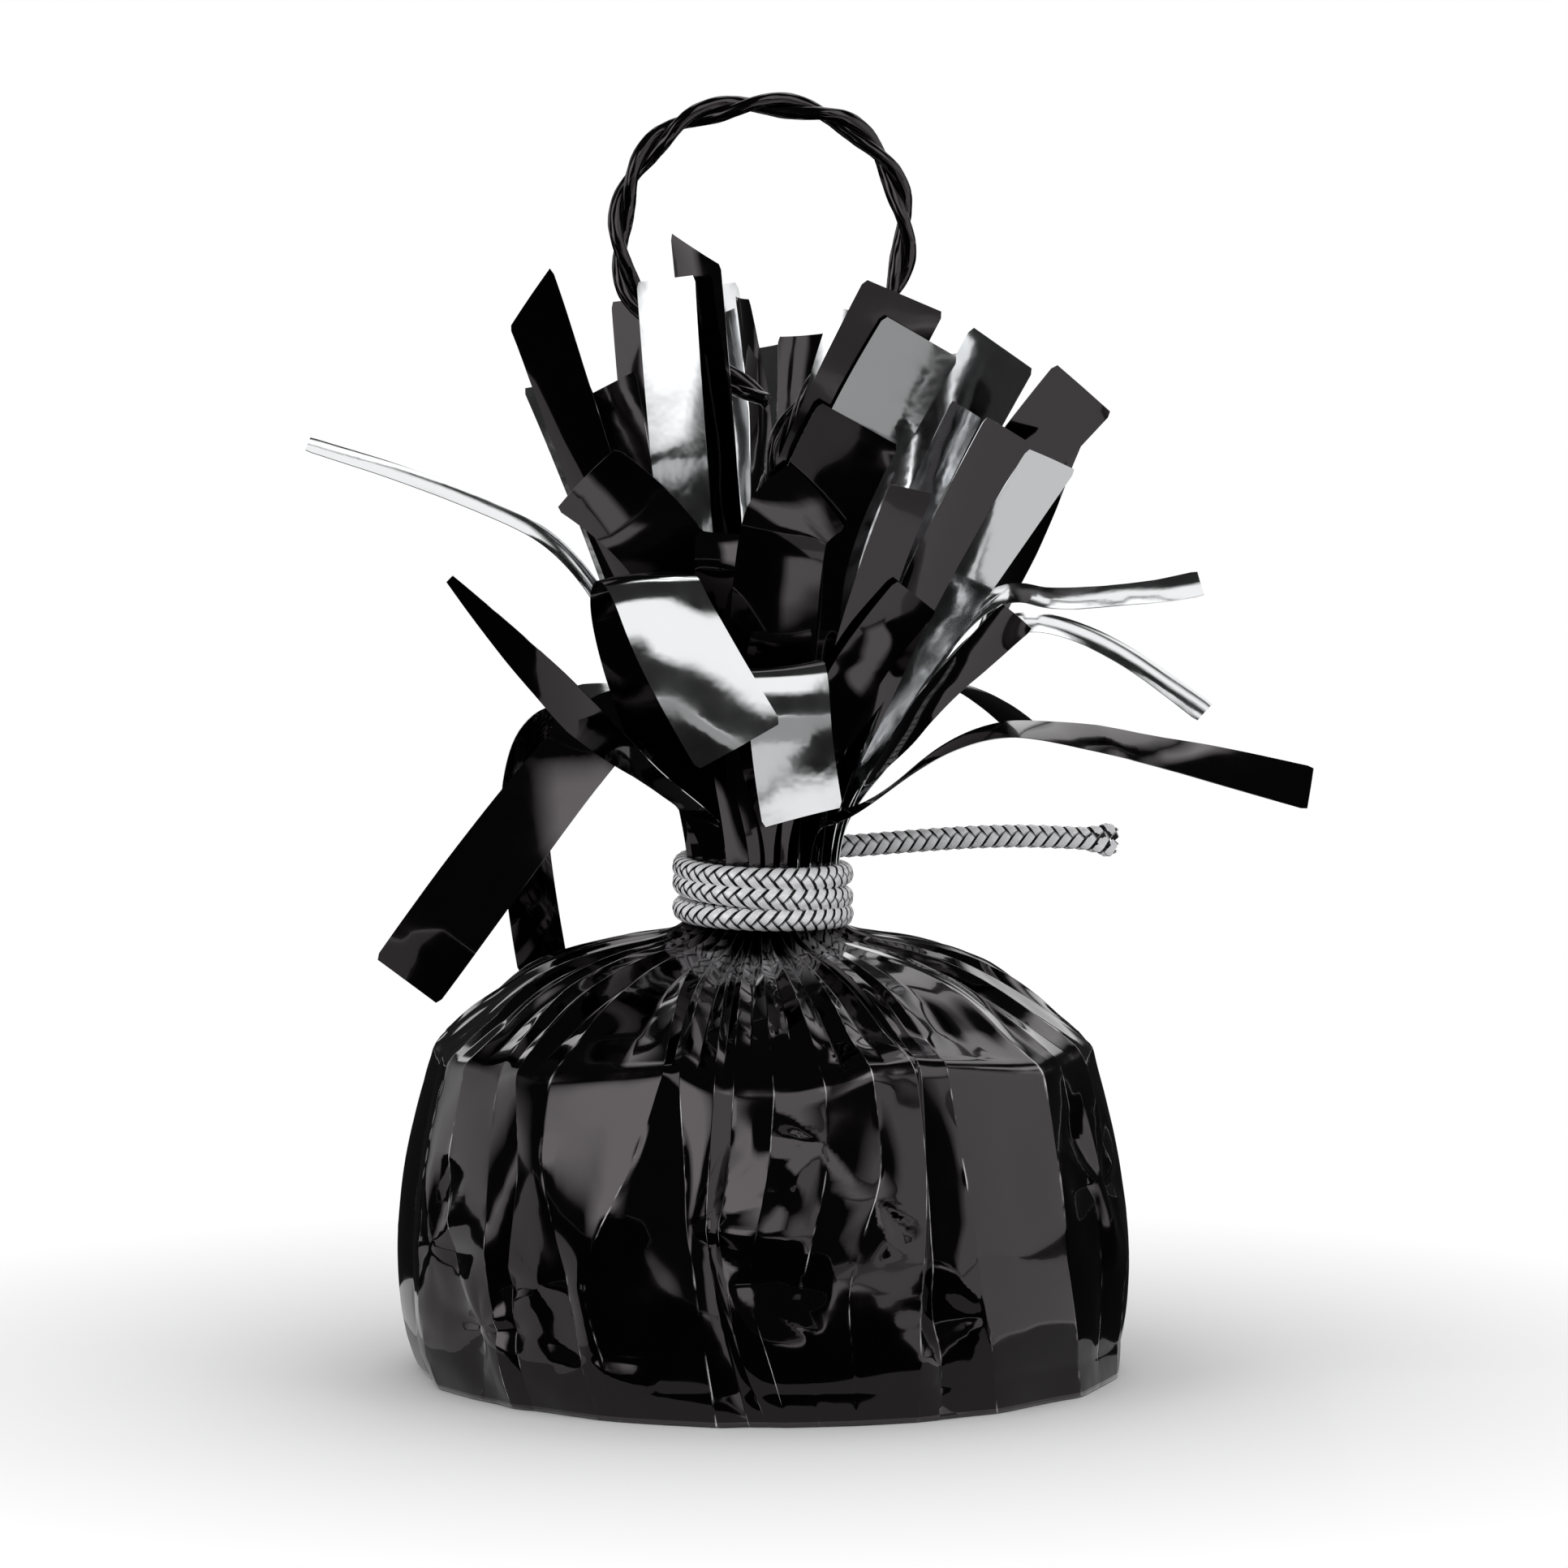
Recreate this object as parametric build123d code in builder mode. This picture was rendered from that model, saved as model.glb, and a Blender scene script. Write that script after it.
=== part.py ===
"""Balloon weight: a round cast slug wrapped in two-sided metallised film.

The film is gathered at a neck above the slug, tied there with a braided cord, and slit into a
fringe of strips above the tie. A rope twisted from the same film stands out of the fringe and is
bent into a hanging loop. Millimetres, +Z up, origin at the middle of the flat underside, front -Y.
"""
from build123d import *
import math
import os
from typing import NamedTuple

# Overall sizes
OVERALL_HEIGHT = 114.3
SLUG_RIM_DIAMETER = 57.15

# Cast slug
SLUG_BASE_DIAMETER = 60.0
SLUG_HEIGHT = 28.2
SLUG_EDGE_RADIUS = 1.2

# Film wrap round the slug
WRAP_WALL = 0.3
SLUG_CLEARANCE = 0.15

# Gathered neck and its flare above the tie
NECK_BOTTOM = 39.2
NECK_FLARE_BOTTOM = 46.8
NECK_FLARE_TOP = 47.8
NECK_TOP = 50.0
NECK_PLEATS = 24
NECK_RIDGE_RADIUS = 6.2
NECK_VALLEY_RADIUS = 5.8
FLARE_RIDGE_RADIUS = 7.6
FLARE_VALLEY_RADIUS = 7.0

# Braided tie cord
CORD_DIAMETER = 1.5
CORD_TURNS = 3
CORD_PITCH = 1.93
CORD_RADIUS_ON_NECK = NECK_RIDGE_RADIUS + CORD_DIAMETER / 2 + 0.1
CORD_BOTTOM = 39.6
LEAST_TURN_GAP = 0.4

# Hanging loop of twisted film
LOOP_DIAMETER = 2.2
LOOP_PIVOT_GAP = 0.4

# Fringe strips
FILM = 0.2
STRIP_ROOT_WIDTH = 1.1
STRIP_SPREAD_LENGTH = 20.0
STRIP_SPREAD_SHARE = 0.6
SECTIONS_PER_POINT = 4
ROOT_PLAY = 0.1
OUTER_RING = 6.6
MIDDLE_RING = 4.8
INNER_RING = 3.0

# Share of the shorter run that each bend of a cord takes up
BEND_SHARE = 0.45

os.makedirs("parts", exist_ok=True)


def finish(builder, name):
    """Label a finished piece and write it to its own file."""
    builder.part.label = name
    export_step(builder.part, f"parts/{name}.step")


def bend_radii(points):
    """Largest even radius at each inner point of a route."""
    radii = []
    for before, corner, after in zip(points, points[1:], points[2:]):
        run_in = Vector(corner) - Vector(before)
        run_out = Vector(after) - Vector(corner)
        half_turn = math.radians(run_in.get_angle(run_out)) / 2
        radii.append(BEND_SHARE * min(run_in.length, run_out.length) / math.tan(half_turn))
    return radii


def report_tube(name, solid, path, diameter):
    """Print a tube's length and how its volume compares with section times length."""
    straight_volume = path.length * math.pi * diameter**2 / 4
    print(f"{name}: length {path.length:.1f}, volume ratio {solid.volume / straight_volume:.4f}")


# Cast slug: a low drafted cylinder standing on the film's floor, with a rounded upper rim.
with BuildPart() as weight_slug:
    with BuildSketch(Plane.XY.offset(WRAP_WALL)):
        Circle(SLUG_BASE_DIAMETER / 2)
    with BuildSketch(Plane.XY.offset(WRAP_WALL + SLUG_HEIGHT)):
        Circle(SLUG_RIM_DIAMETER / 2)
    loft(ruled=True)
    rims = weight_slug.edges().filter_by(GeomType.CIRCLE)
    fillet(rims, SLUG_EDGE_RADIUS)
finish(weight_slug, "weight_slug")


# Film wrap: one sheet drawn up round the slug. It falls in flat panels between upright folds, creases
# over the slug's rim, and tucks in between the folds on its way to the neck.
SHOULDER_HEIGHT = WRAP_WALL + SLUG_HEIGHT + 0.7
RIM_RADIUS = SLUG_RIM_DIAMETER / 2 + WRAP_WALL + SLUG_CLEARANCE + 0.3
BORE_RADIUS = 3.0
# Height, radius at the folds, depth of the tucks between them (under zero, the panels swell), and the
# wall's thickness across it. The film is gathered solid above the last wall.
WRAP_LEVELS = [
    (0.0, 30.8, -0.05, WRAP_WALL),
    (2.4, 31.9, -0.15, WRAP_WALL),
    (6.0, 32.4, -0.15, WRAP_WALL),
    (12.0, 32.5, -0.15, WRAP_WALL),
    (17.0, 32.0, -0.15, WRAP_WALL),
    (22.0, 31.2, -0.15, WRAP_WALL),
    (SHOULDER_HEIGHT, RIM_RADIUS, -0.05, WRAP_WALL),
    (32.4, 25.9, 0.8, 0.47),
    (35.6, 21.9, 1.7, 0.6),
    (37.0, 18.9, 2.7, 0.9),
    (38.7, 13.4, 4.5, None),
    (NECK_BOTTOM, NECK_RIDGE_RADIUS, 0.4, None),
]
FOLD_HEIGHTS = [0.0, 6.0, 12.0, 17.0, 22.0, SHOULDER_HEIGHT]


class Fold(NamedTuple):
    """A fold: its bearings and how far it stands out at the fold heights, and the tuck beside it."""

    bearings: tuple
    neck_bearing: float
    stands: tuple
    tuck_place: float
    tuck_depth: float


FOLDS = [
    Fold((-90, -90, -89, -89, -90, -91), -97, (0.1, 0.2, 0.3, 0.3, 0.3, 0.1), 0.45, 0.8),
    Fold((-77, -77, -77, -78, -78, -80), -86, (-0.4, -0.6, -0.6, -0.5, -0.4, -0.2), 0.55, 0.7),
    Fold((-68, -68, -68, -69, -70, -71), -76, (0.3, 0.3, 0.3, 0.3, 0.3, 0.1), 0.4, 0.9),
    Fold((-54, -50, -57, -61, -61, -63), -66, (-0.3, -1.0, -0.5, 0.1, 0.3, 0.2), 0.5, 0.8),
    Fold((-45, -46, -48, -48, -49.5, -53), -56, (0.3, 0.1, 0.3, 0.4, 0.3, -0.3), 0.6, 0.9),
    Fold((-41, -43, -45, -44, -43, -47), -47, (-0.3, -0.8, -0.9, -0.6, -0.1, 0.3), 0.5, 1.0),
    Fold((-27, -30, -32, -35, -38, -39), -36, (0.2, -0.3, -0.8, 0.0, 0.3, 0.4), 0.62, 1.1),
    Fold((-7, -8.5, -10, -12, -12.5, -14.5), -18, (0.4, 0.3, 0.0, -0.7, 0.2, 0.4), 0.5, 0.8),
    Fold((-2, -5.5, -8.5, -10.6, -9, -7), -9, (-0.5, -0.7, -0.8, -0.9, -0.2, 0.0), 0.45, 1.1),
    Fold((6, 0, -5, 5, 10.5, 11), 4, (0.1, 0.1, -1.3, 0.0, 0.5, 0.2), 0.5, 0.8),
    Fold((15, 14, 13, 16, 20, 19), 12, (0.1, 0.0, 0.1, 0.3, -0.3, 0.1), 0.4, 0.7),
    Fold((25, 25, 25, 26, 27, 27), 19, (0.3, 0.4, 0.5, 0.5, 0.4, 0.3), 0.5, 0.5),
    Fold((36, 34.5, 34, 33.5, 32.5, 31), 26, (-0.1, -1.5, -1.0, -0.9, -0.8, -0.2), 0.55, 0.9),
    Fold((42, 41, 39.5, 39, 38.5, 42), 37, (0.2, 0.3, 0.3, 0.3, 0.3, 0.1), 0.4, 1.1),
    Fold((61, 58, 55, 55, 55, 57), 47, (0.4, 0.3, 0.4, 0.4, 0.4, 0.2), 0.6, 0.8),
    Fold((70, 69, 69, 68.5, 67, 64), 57, (0.0, -0.4, -0.4, -0.5, -1.2, 0.0), 0.5, 0.9),
    Fold((80, 79, 79, 78, 76, 75), 68, (0.3, 0.4, 0.4, 0.3, 0.2, 0.2), 0.42, 0.8),
    Fold((90, 89, 89, 89, 88, 88), 80, (0.1, 0.2, 0.3, 0.2, 0.2, 0.1), 0.5, 0.9),
    Fold((97, 97, 99, 100, 99, 99), 90, (0.2, 0.3, 0.3, 0.3, 0.2, 0.1), 0.46, 0.9),
    Fold((106, 105, 107, 107, 109, 109), 100, (-0.5, -0.4, -0.7, -0.5, -0.3, 0.0), 0.55, 1.1),
    Fold((116, 117, 118, 117, 117, 116), 107, (0.3, 0.3, -1.1, 0.4, 0.3, 0.0), 0.48, 0.7),
    Fold((125, 126, 124, 125, 124, 124), 115, (-0.2, -0.2, -0.4, -0.3, -0.2, -0.1), 0.35, 1.0),
    Fold((136, 135, 136, 135, 135, 135), 125, (-0.1, -1.0, 0.2, 0.2, 0.3, 0.3), 0.57, 0.8),
    Fold((144, 143, 144, 143, 144, 146), 134, (-0.3, -0.9, -0.9, -0.9, -0.4, -0.1), 0.58, 1.0),
    Fold((153, 153, 152, 150, 149, 152), 143, (0.3, 0.2, 0.2, 0.1, 0.2, 0.1), 0.39, 1.0),
    Fold((162, 163, 162, 161, 163, 163), 150, (-0.1, -0.3, -1.1, -0.3, -0.5, -0.2), 0.49, 0.6),
    Fold((171, 171, 171, 168, 170, 169), 159, (0.3, 0.5, 0.5, 0.3, 0.2, 0.2), 0.55, 0.9),
    Fold((177, 179, 179, 180, 181, 181), 169, (-0.4, -1.0, -0.9, -0.7, -0.7, -0.2), 0.37, 1.0),
    Fold((188, 188, 189, 189, 191, 189), 177, (0.3, 0.5, 0.4, 0.4, 0.1, 0.3), 0.36, 1.1),
    Fold((196, 195, 197, 197, 199, 199), 187, (-0.2, -0.5, -0.6, -0.4, -0.5, -0.2), 0.46, 0.7),
    Fold((206, 205, 208, 208, 209, 209), 194, (0.4, 0.4, -1.1, 0.5, 0.5, 0.1), 0.44, 0.9),
    Fold((214, 214, 217, 217, 217, 218), 204, (-0.3, -0.6, -0.8, -0.8, -0.5, -0.2), 0.46, 1.0),
    Fold((226, 226, 227, 226, 225, 226), 212, (0.3, -1.0, 0.1, 0.4, 0.3, 0.2), 0.47, 0.6),
    Fold((234, 235, 235, 235, 235, 235), 221, (-0.5, -0.6, -0.6, -0.6, -0.4, -0.1), 0.6, 0.6),
    Fold((246, 247, 245, 245, 245, 245), 232, (0.3, 0.4, 0.4, 0.4, 0.4, 0.1), 0.35, 0.8),
    Fold((254, 255, 254, 254, 254, 256), 243, (-0.5, -0.7, -1.1, -0.6, -0.4, -0.1), 0.6, 1.0),
    Fold((262, 262, 263, 262, 263, 263), 253, (0.2, 0.3, 0.4, 0.3, 0.3, 0.2), 0.41, 0.8),
]


def at_height(values, height):
    """A fold's value at a height, between the fold heights below and above it."""
    for low, high, lower, higher in zip(FOLD_HEIGHTS, FOLD_HEIGHTS[1:], values, values[1:]):
        if height <= high:
            return lower + (higher - lower) * (height - low) / (high - low)
    return values[-1]


def film_ring(height, radius, tuck, wall):
    """Corners of the film at a height, or of its inner face under a wall: each fold, then the tuck after it."""
    gathered = max(0, RIM_RADIUS - radius) / (RIM_RADIUS - NECK_RIDGE_RADIUS) if height > SHOULDER_HEIGHT else 0
    ridges = []
    for fold in FOLDS:
        bearing = at_height(fold.bearings, height)
        turn = math.radians(bearing + (fold.neck_bearing - bearing) * gathered)
        reach = radius - wall + at_height(fold.stands, height) * max(0, 1 - 4 * gathered)
        ridges.append(Vector(reach * math.sin(turn), -reach * math.cos(turn)))
    corners = []
    for fold, here, there in zip(FOLDS, ridges, ridges[1:] + ridges[:1]):
        between = here + (there - here) * fold.tuck_place
        tucked = between - between.normalized() * (tuck * fold.tuck_depth)
        corners += [(here.X, here.Y), (tucked.X, tucked.Y)]
    return corners


with BuildPart() as wrap_inside:
    for height, radius, tuck, wall in WRAP_LEVELS:
        if wall:
            with BuildSketch(Plane.XY.offset(max(height, WRAP_WALL))):
                Polygon(*film_ring(height, radius, tuck, wall), align=None)
    loft(ruled=True)

with BuildPart() as foil_wrap:
    for height, radius, tuck, wall in WRAP_LEVELS:
        with BuildSketch(Plane.XY.offset(height)):
            Polygon(*film_ring(height, radius, tuck, 0), align=None)
    loft(ruled=True)
    add(wrap_inside.part, mode=Mode.SUBTRACT)
    with Locations((0, 0, SHOULDER_HEIGHT)):
        bore_length = NECK_BOTTOM - SHOULDER_HEIGHT
        Cylinder(BORE_RADIUS, bore_length, align=(Align.CENTER, Align.CENTER, Align.MIN), mode=Mode.SUBTRACT)
finish(foil_wrap, "foil_wrap")


def pleat_points(ridge, valley):
    """Corners of a pleated ring, ridge and valley in turn."""
    corners = []
    for fold in range(2 * NECK_PLEATS):
        turn = math.pi * fold / NECK_PLEATS
        radius = valley if fold % 2 else ridge
        corners.append((radius * math.cos(turn), radius * math.sin(turn)))
    return corners


# Gathered neck: the film drawn into a pleated bundle that the cord grips, flaring above the tie.
NECK_LEVELS = [
    (NECK_BOTTOM, NECK_RIDGE_RADIUS, NECK_VALLEY_RADIUS),
    (NECK_FLARE_BOTTOM, NECK_RIDGE_RADIUS, NECK_VALLEY_RADIUS),
    (NECK_FLARE_TOP, FLARE_RIDGE_RADIUS - 0.1, FLARE_VALLEY_RADIUS - 0.1),
    (NECK_TOP, FLARE_RIDGE_RADIUS, FLARE_VALLEY_RADIUS),
]
with BuildPart() as neck_gather:
    for height, ridge, valley in NECK_LEVELS:
        with BuildSketch(Plane.XY.offset(height)):
            Polygon(*pleat_points(ridge, valley), align=None)
    loft(ruled=True)
finish(neck_gather, "neck_gather")


# Tie cord, wound part: turns that climb the neck, starting and ending behind it.
def turn_point(turns):
    """Point on the winding's centre line after a number of turns from its start behind the neck."""
    sweep_angle = math.pi / 2 - 2 * math.pi * turns
    return Vector(
        CORD_RADIUS_ON_NECK * math.cos(sweep_angle),
        CORD_RADIUS_ON_NECK * math.sin(sweep_angle),
        CORD_BOTTOM + CORD_DIAMETER / 2 + CORD_PITCH * turns,
    )


def turn_direction(turns):
    """Direction of the winding's centre line at that point."""
    sweep_angle = math.pi / 2 - 2 * math.pi * turns
    circumference = 2 * math.pi * CORD_RADIUS_ON_NECK
    climb = CORD_PITCH / circumference
    return Vector(math.sin(sweep_angle), -math.cos(sweep_angle), climb).normalized()


def biarc(start, start_direction, end, end_direction):
    """Two arcs that leave one point and reach the next along the given directions."""
    chord = end - start
    both = start_direction + end_direction
    square = 2 - 2 * start_direction.dot(end_direction)
    linear = 2 * chord.dot(both)
    reach = (math.sqrt(linear**2 + 4 * square * chord.dot(chord)) - linear) / (2 * square)
    joint_in = start + start_direction * reach
    joint_out = end - end_direction * reach
    joint = (joint_in + joint_out) * 0.5
    TangentArc(start, joint, tangent=start_direction)
    TangentArc(joint, end, tangent=joint_out - joint_in)


with BuildPart() as tie_winding:
    with BuildLine() as winding_path:
        first = turn_point(0)
        last = turn_point(CORD_TURNS)
        Line(first - turn_direction(0) * CORD_DIAMETER, first)
        for quarter in range(4 * CORD_TURNS):
            here = quarter / 4
            there = (quarter + 1) / 4
            biarc(turn_point(here), turn_direction(here), turn_point(there), turn_direction(there))
        Line(last, last + turn_direction(CORD_TURNS) * CORD_DIAMETER)
    with BuildSketch(Plane(winding_path.wire() @ 0, z_dir=winding_path.wire() % 0)):
        Circle(CORD_DIAMETER / 2)
    sweep(path=winding_path.wire())
finish(tie_winding, "tie_winding")

SAMPLES_PER_TURN = 60
winding_points = [turn_point(step / SAMPLES_PER_TURN) for step in range(SAMPLES_PER_TURN * CORD_TURNS + 1)]
turn_gap = min(
    (later - earlier).length - CORD_DIAMETER
    for step, earlier in enumerate(winding_points)
    for later in winding_points[step + SAMPLES_PER_TURN // 2:]
)
print(f"tie_winding: least gap between turns {turn_gap:.3f}, wanted over {LEAST_TURN_GAP}")
report_tube("tie_winding", tie_winding.part, winding_path.wire(), CORD_DIAMETER)


# Tie cord, free tail: it leaves the back of the neck and stands out to the right.
tail_start = last + turn_direction(CORD_TURNS) * CORD_DIAMETER
TAIL_ROUTE = [
    tail_start,
    tail_start + turn_direction(CORD_TURNS) * 5.5,
    (13.5, 6.6, 46.9),
    (20.0, 5.9, 47.4),
    (26.0, 5.0, 47.5),
    (31.0, 4.2, 47.2),
]
with BuildPart() as tie_tail:
    with BuildLine() as tail_path:
        tail_radii = bend_radii(TAIL_ROUTE)
        FilletPolyline(*TAIL_ROUTE, radius=tail_radii)
    with BuildSketch(Plane(tail_path.wire() @ 0, z_dir=tail_path.wire() % 0)):
        Circle(CORD_DIAMETER / 2)
    sweep(path=tail_path.wire())
finish(tie_tail, "tie_tail")
print("tie_tail: bend radii", [round(radius, 1) for radius in tail_radii])
report_tube("tie_tail", tie_tail.part, tail_path.wire(), CORD_DIAMETER)


# Hanging loop: a film rope that rises from the neck, goes round the loop and ends beside its own stem.
LOOP_TOP = OVERALL_HEIGHT - LOOP_DIAMETER / 2
LOOP_ROUTE = [
    (0.0, 0.0, NECK_TOP + LOOP_PIVOT_GAP),
    (0.3, 0.0, 61.0),
    (0.0, 0.0, 72.0),
    (0.5, 0.0, 81.0),
    (3.6, 0.0, 87.4),
    (9.2, 0.0, 92.4),
    (12.7, 0.0, 98.6),
    (12.4, 0.0, 105.8),
    (8.5, 0.0, 111.3),
    (2.8, 0.0, LOOP_TOP),
    (-2.8, 0.0, LOOP_TOP),
    (-8.5, 0.0, 111.3),
    (-12.5, 0.0, 105.8),
    (-12.8, 0.0, 98.6),
    (-10.0, 0.0, 93.2),
    (-4.8, -0.4, 90.0),
    (0.4, -1.8, 87.0),
]
with BuildPart() as hanging_loop:
    with BuildLine() as loop_path:
        loop_radii = bend_radii(LOOP_ROUTE)
        FilletPolyline(*LOOP_ROUTE, radius=loop_radii)
    with BuildSketch(Plane(loop_path.wire() @ 0, z_dir=loop_path.wire() % 0)):
        Circle(LOOP_DIAMETER / 2)
    sweep(path=loop_path.wire())
finish(hanging_loop, "hanging_loop")
print("hanging_loop: bend radii", [round(radius, 1) for radius in loop_radii])
report_tube("hanging_loop", hanging_loop.part, loop_path.wire(), LOOP_DIAMETER)


# Fringe: each strip leaves the neck on one of three rings and bends towards the points of its route.
class Strip(NamedTuple):
    """A strip's name, ring radius, bearing from the front, route, width and twist towards its tip."""

    name: str
    ring: float
    bearing: float
    route: list
    width: float
    twist: float


STRIPS = [
    # Front, from the left shoulder round to the right
    Strip("strip_front_fold_high", OUTER_RING, 320,
          [(-8, -8, 57.5), (-11.5, -9, 70), (-10, -16, 74), (-7, -19, 66.5), (-2, -19, 58)], 8.4, 75),
    Strip("strip_front_left_arch", OUTER_RING, 342,
          [(-2.5, -9.5, 61.5), (-3.8, -12.5, 74), (-3.3, -11, 76)], 5, 0),
    Strip("strip_front_arch", OUTER_RING, 0,
          [(0.5, -10.5, 61.5), (1.5, -15, 76), (3, -13.5, 78.5), (5, -12, 79.5)], 7.6, 0),
    Strip("strip_front_fold_low", OUTER_RING, 12,
          [(1.5, -11, 55), (1.2, -12.8, 62.2), (1.6, -14.8, 65.2), (2.2, -17, 64), (2.5, -17.3, 57.5),
           (3.5, -16, 51.5)], 7.2, 10),
    Strip("strip_front_flag", OUTER_RING, 23,
          [(5.5, -9.5, 58.5), (9.5, -11.5, 66), (13.5, -11.5, 70.5)], 4.6, -25),
    Strip("strip_front_right", OUTER_RING, 37, [(7, -9, 61.5), (9.5, -12, 71), (13, -12, 80)], 4, -25),
    Strip("strip_front_left", MIDDLE_RING, 337.5,
          [(-4.5, -6.5, 61.5), (-7, -9, 75), (-15.5, -12, 81)], 7.6, 25),
    # Centre, round the foot of the loop
    Strip("strip_centre_front", MIDDLE_RING, 0, [(2.5, -8.5, 64), (3.5, -9, 76.5), (8.5, -9, 85.5)], 8, 0),
    Strip("strip_centre_pale", MIDDLE_RING, 22.5, [(3, -6, 65.5), (6.5, -7, 81), (14, -6.5, 93)], 7.6, -20),
    Strip("strip_centre_tall", INNER_RING, 0, [(1, -4.5, 65), (3.5, -5, 79.5), (12.5, -4.5, 96.5)], 7.6, 0),
    Strip("strip_centre_inner", INNER_RING, 45, [(1, -2.5, 65), (4.5, -3, 82.5), (8, -2.5, 95)], 4.6, -45),
    Strip("strip_centre_highest", INNER_RING, 315,
          [(-3, -2.5, 65), (-4.5, -3, 85), (-6, -2, 100.5)], 4.4, 40),
    Strip("strip_centre_edge_on", INNER_RING, 180, [(-0.5, 7, 64), (0.5, 14, 81), (-2, 18, 95)], 3.6, 70),
    # Left
    Strip("strip_left_tall", OUTER_RING, 291,
          [(-8.5, -3, 60.5), (-14, -5.5, 77), (-20.5, -7, 96.5)], 5.6, 50),
    Strip("strip_left_short", MIDDLE_RING, 290,
          [(-8.5, -0.5, 65), (-11.5, -1, 78), (-13.5, -1, 88.5)], 5.2, 50),
    Strip("strip_left_pale", MIDDLE_RING, 315,
          [(-5.5, -5, 65), (-7.5, -6.5, 82.5), (-8.5, -4.5, 98)], 5.6, 35),
    Strip("strip_left_rear", MIDDLE_RING, 225, [(-7.5, 8, 64), (-10.5, 13, 81), (-11.5, 17, 95)], 4.5, -40),
    # Right
    Strip("strip_right_near", OUTER_RING, 60,
          [(8.5, -5.5, 59), (15, -7.5, 73.5), (21.5, -8.5, 85)], 5, -40),
    Strip("strip_right_pale", OUTER_RING, 72,
          [(10.5, -2, 57.5), (17.5, -2.5, 70), (25.5, -3, 82)], 5.4, -45),
    Strip("strip_right_low", OUTER_RING, 84, [(11, -1, 55), (15.5, -1.5, 61.5), (22.5, -2, 68)], 4.4, -55),
    Strip("strip_right_narrow", MIDDLE_RING, 60, [(7, -4, 63), (12.5, -5, 75.5), (18, -5, 86.5)], 3.4, -40),
    Strip("strip_right_tall", MIDDLE_RING, 90, [(9, 2, 62.5), (19, 2.5, 77), (28.5, 1, 88)], 7.2, -70),
    Strip("strip_right_edge", OUTER_RING, 108, [(12.5, 5, 55.5), (21.5, 7.5, 67), (27, 8, 84)], 5.6, -60),
    Strip("strip_right_rear", MIDDLE_RING, 135, [(7.5, 7, 64), (14.5, 9, 78.5), (21.5, 10, 91)], 6.8, 40),
    # Back
    Strip("strip_back_right", OUTER_RING, 132, [(10.5, 9.5, 62), (15.5, 15, 78), (18, 18.5, 90)], 6, 0),
    Strip("strip_back_right_tall", OUTER_RING, 156,
          [(6.5, 11, 64), (9.5, 19, 80), (10.5, 25, 92)], 6.4, 10),
    Strip("strip_back_middle", MIDDLE_RING, 157.5,
          [(1.5, 10, 64), (3.5, 16, 78), (3.5, 20, 91.5)], 4.4, 30),
    Strip("strip_back_tall", OUTER_RING, 168, [(0.5, 12.5, 63), (0.5, 20.5, 78), (0, 28, 90)], 6.4, -10),
    Strip("strip_back_inner", MIDDLE_RING, 180, [(-0.5, 9, 66), (-2, 16, 82), (-5, 20, 96)], 5.6, 15),
    Strip("strip_back_left_tall", OUTER_RING, 192, [(-6, 12, 62), (-8.5, 20, 76), (-10, 28, 86)], 6.4, 10),
    Strip("strip_back_left", OUTER_RING, 206, [(-9, 10, 62), (-14, 17, 76), (-19, 23, 87)], 6, -10),
]

# Stray strips stand clear of the bundle, so each one can spring up and down at its root.
STRAY_STRIPS = [
    Strip("stray_right_low", OUTER_RING, 48,
          [(8.5, -8, 51), (17, -9, 58), (26, -8, 59), (48.5, -6, 53)], 4.8, 70),
    Strip("stray_right_high", OUTER_RING, 96,
          [(11.5, 1.5, 57.5), (20, 1.5, 70.5), (28, 1.5, 68.5), (39, 1, 70.5)], 4.5, 20),
    Strip("stray_right_middle", OUTER_RING, 120,
          [(12.5, 10, 56), (21, 14.5, 67), (31, 14.5, 65), (40, 13, 58)], 4.5, 15),
    Strip("stray_back_right", OUTER_RING, 144, [(9, 13, 56), (18, 22, 62), (25, 29, 54)], 5.6, 0),
    Strip("stray_back", OUTER_RING, 180, [(-2, 14, 57), (-3, 26, 64), (-4, 33, 54)], 6, 0),
    Strip("stray_left_hanging", OUTER_RING, 228,
          [(-8, 7, 51), (-17.5, 11, 60), (-23, 13, 52), (-20, 15, 34.5)], 4.6, 70),
    Strip("stray_left_high", OUTER_RING, 252,
          [(-9.5, 4, 57), (-15, 5, 71.5), (-24.5, 4, 78), (-40.5, 3, 83)], 4.5, 5),
    Strip("stray_left_nib", OUTER_RING, 264,
          [(-6.5, 0.5, 53), (-10, -0.5, 61.5), (-16.5, -1, 60.5)], 3.4, -25),
    Strip("stray_left_drooping", OUTER_RING, 274,
          [(-7, -3, 51.5), (-11, -4.5, 61), (-18.5, -6, 54), (-31.5, -8, 36)], 7, -70),
    Strip("stray_left_front", OUTER_RING, 305,
          [(-5.6, -8.2, 51), (-13, -12, 57), (-19, -12, 63), (-27.5, -11, 72)], 5.6, 80),
]


def strip_root(strip, lift):
    """Point where a strip leaves the neck."""
    bearing = math.radians(strip.bearing)
    return Vector(strip.ring * math.sin(bearing), -strip.ring * math.cos(bearing), NECK_TOP + lift)


def strip_width(strip, distance, length):
    """Width at a distance along the strip: pinched at the neck, full once it has spread."""
    spread = min(1, distance / min(STRIP_SPREAD_LENGTH, STRIP_SPREAD_SHARE * length))
    return STRIP_ROOT_WIDTH + (strip.width - STRIP_ROOT_WIDTH) * spread**2 * (3 - 2 * spread)


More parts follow.
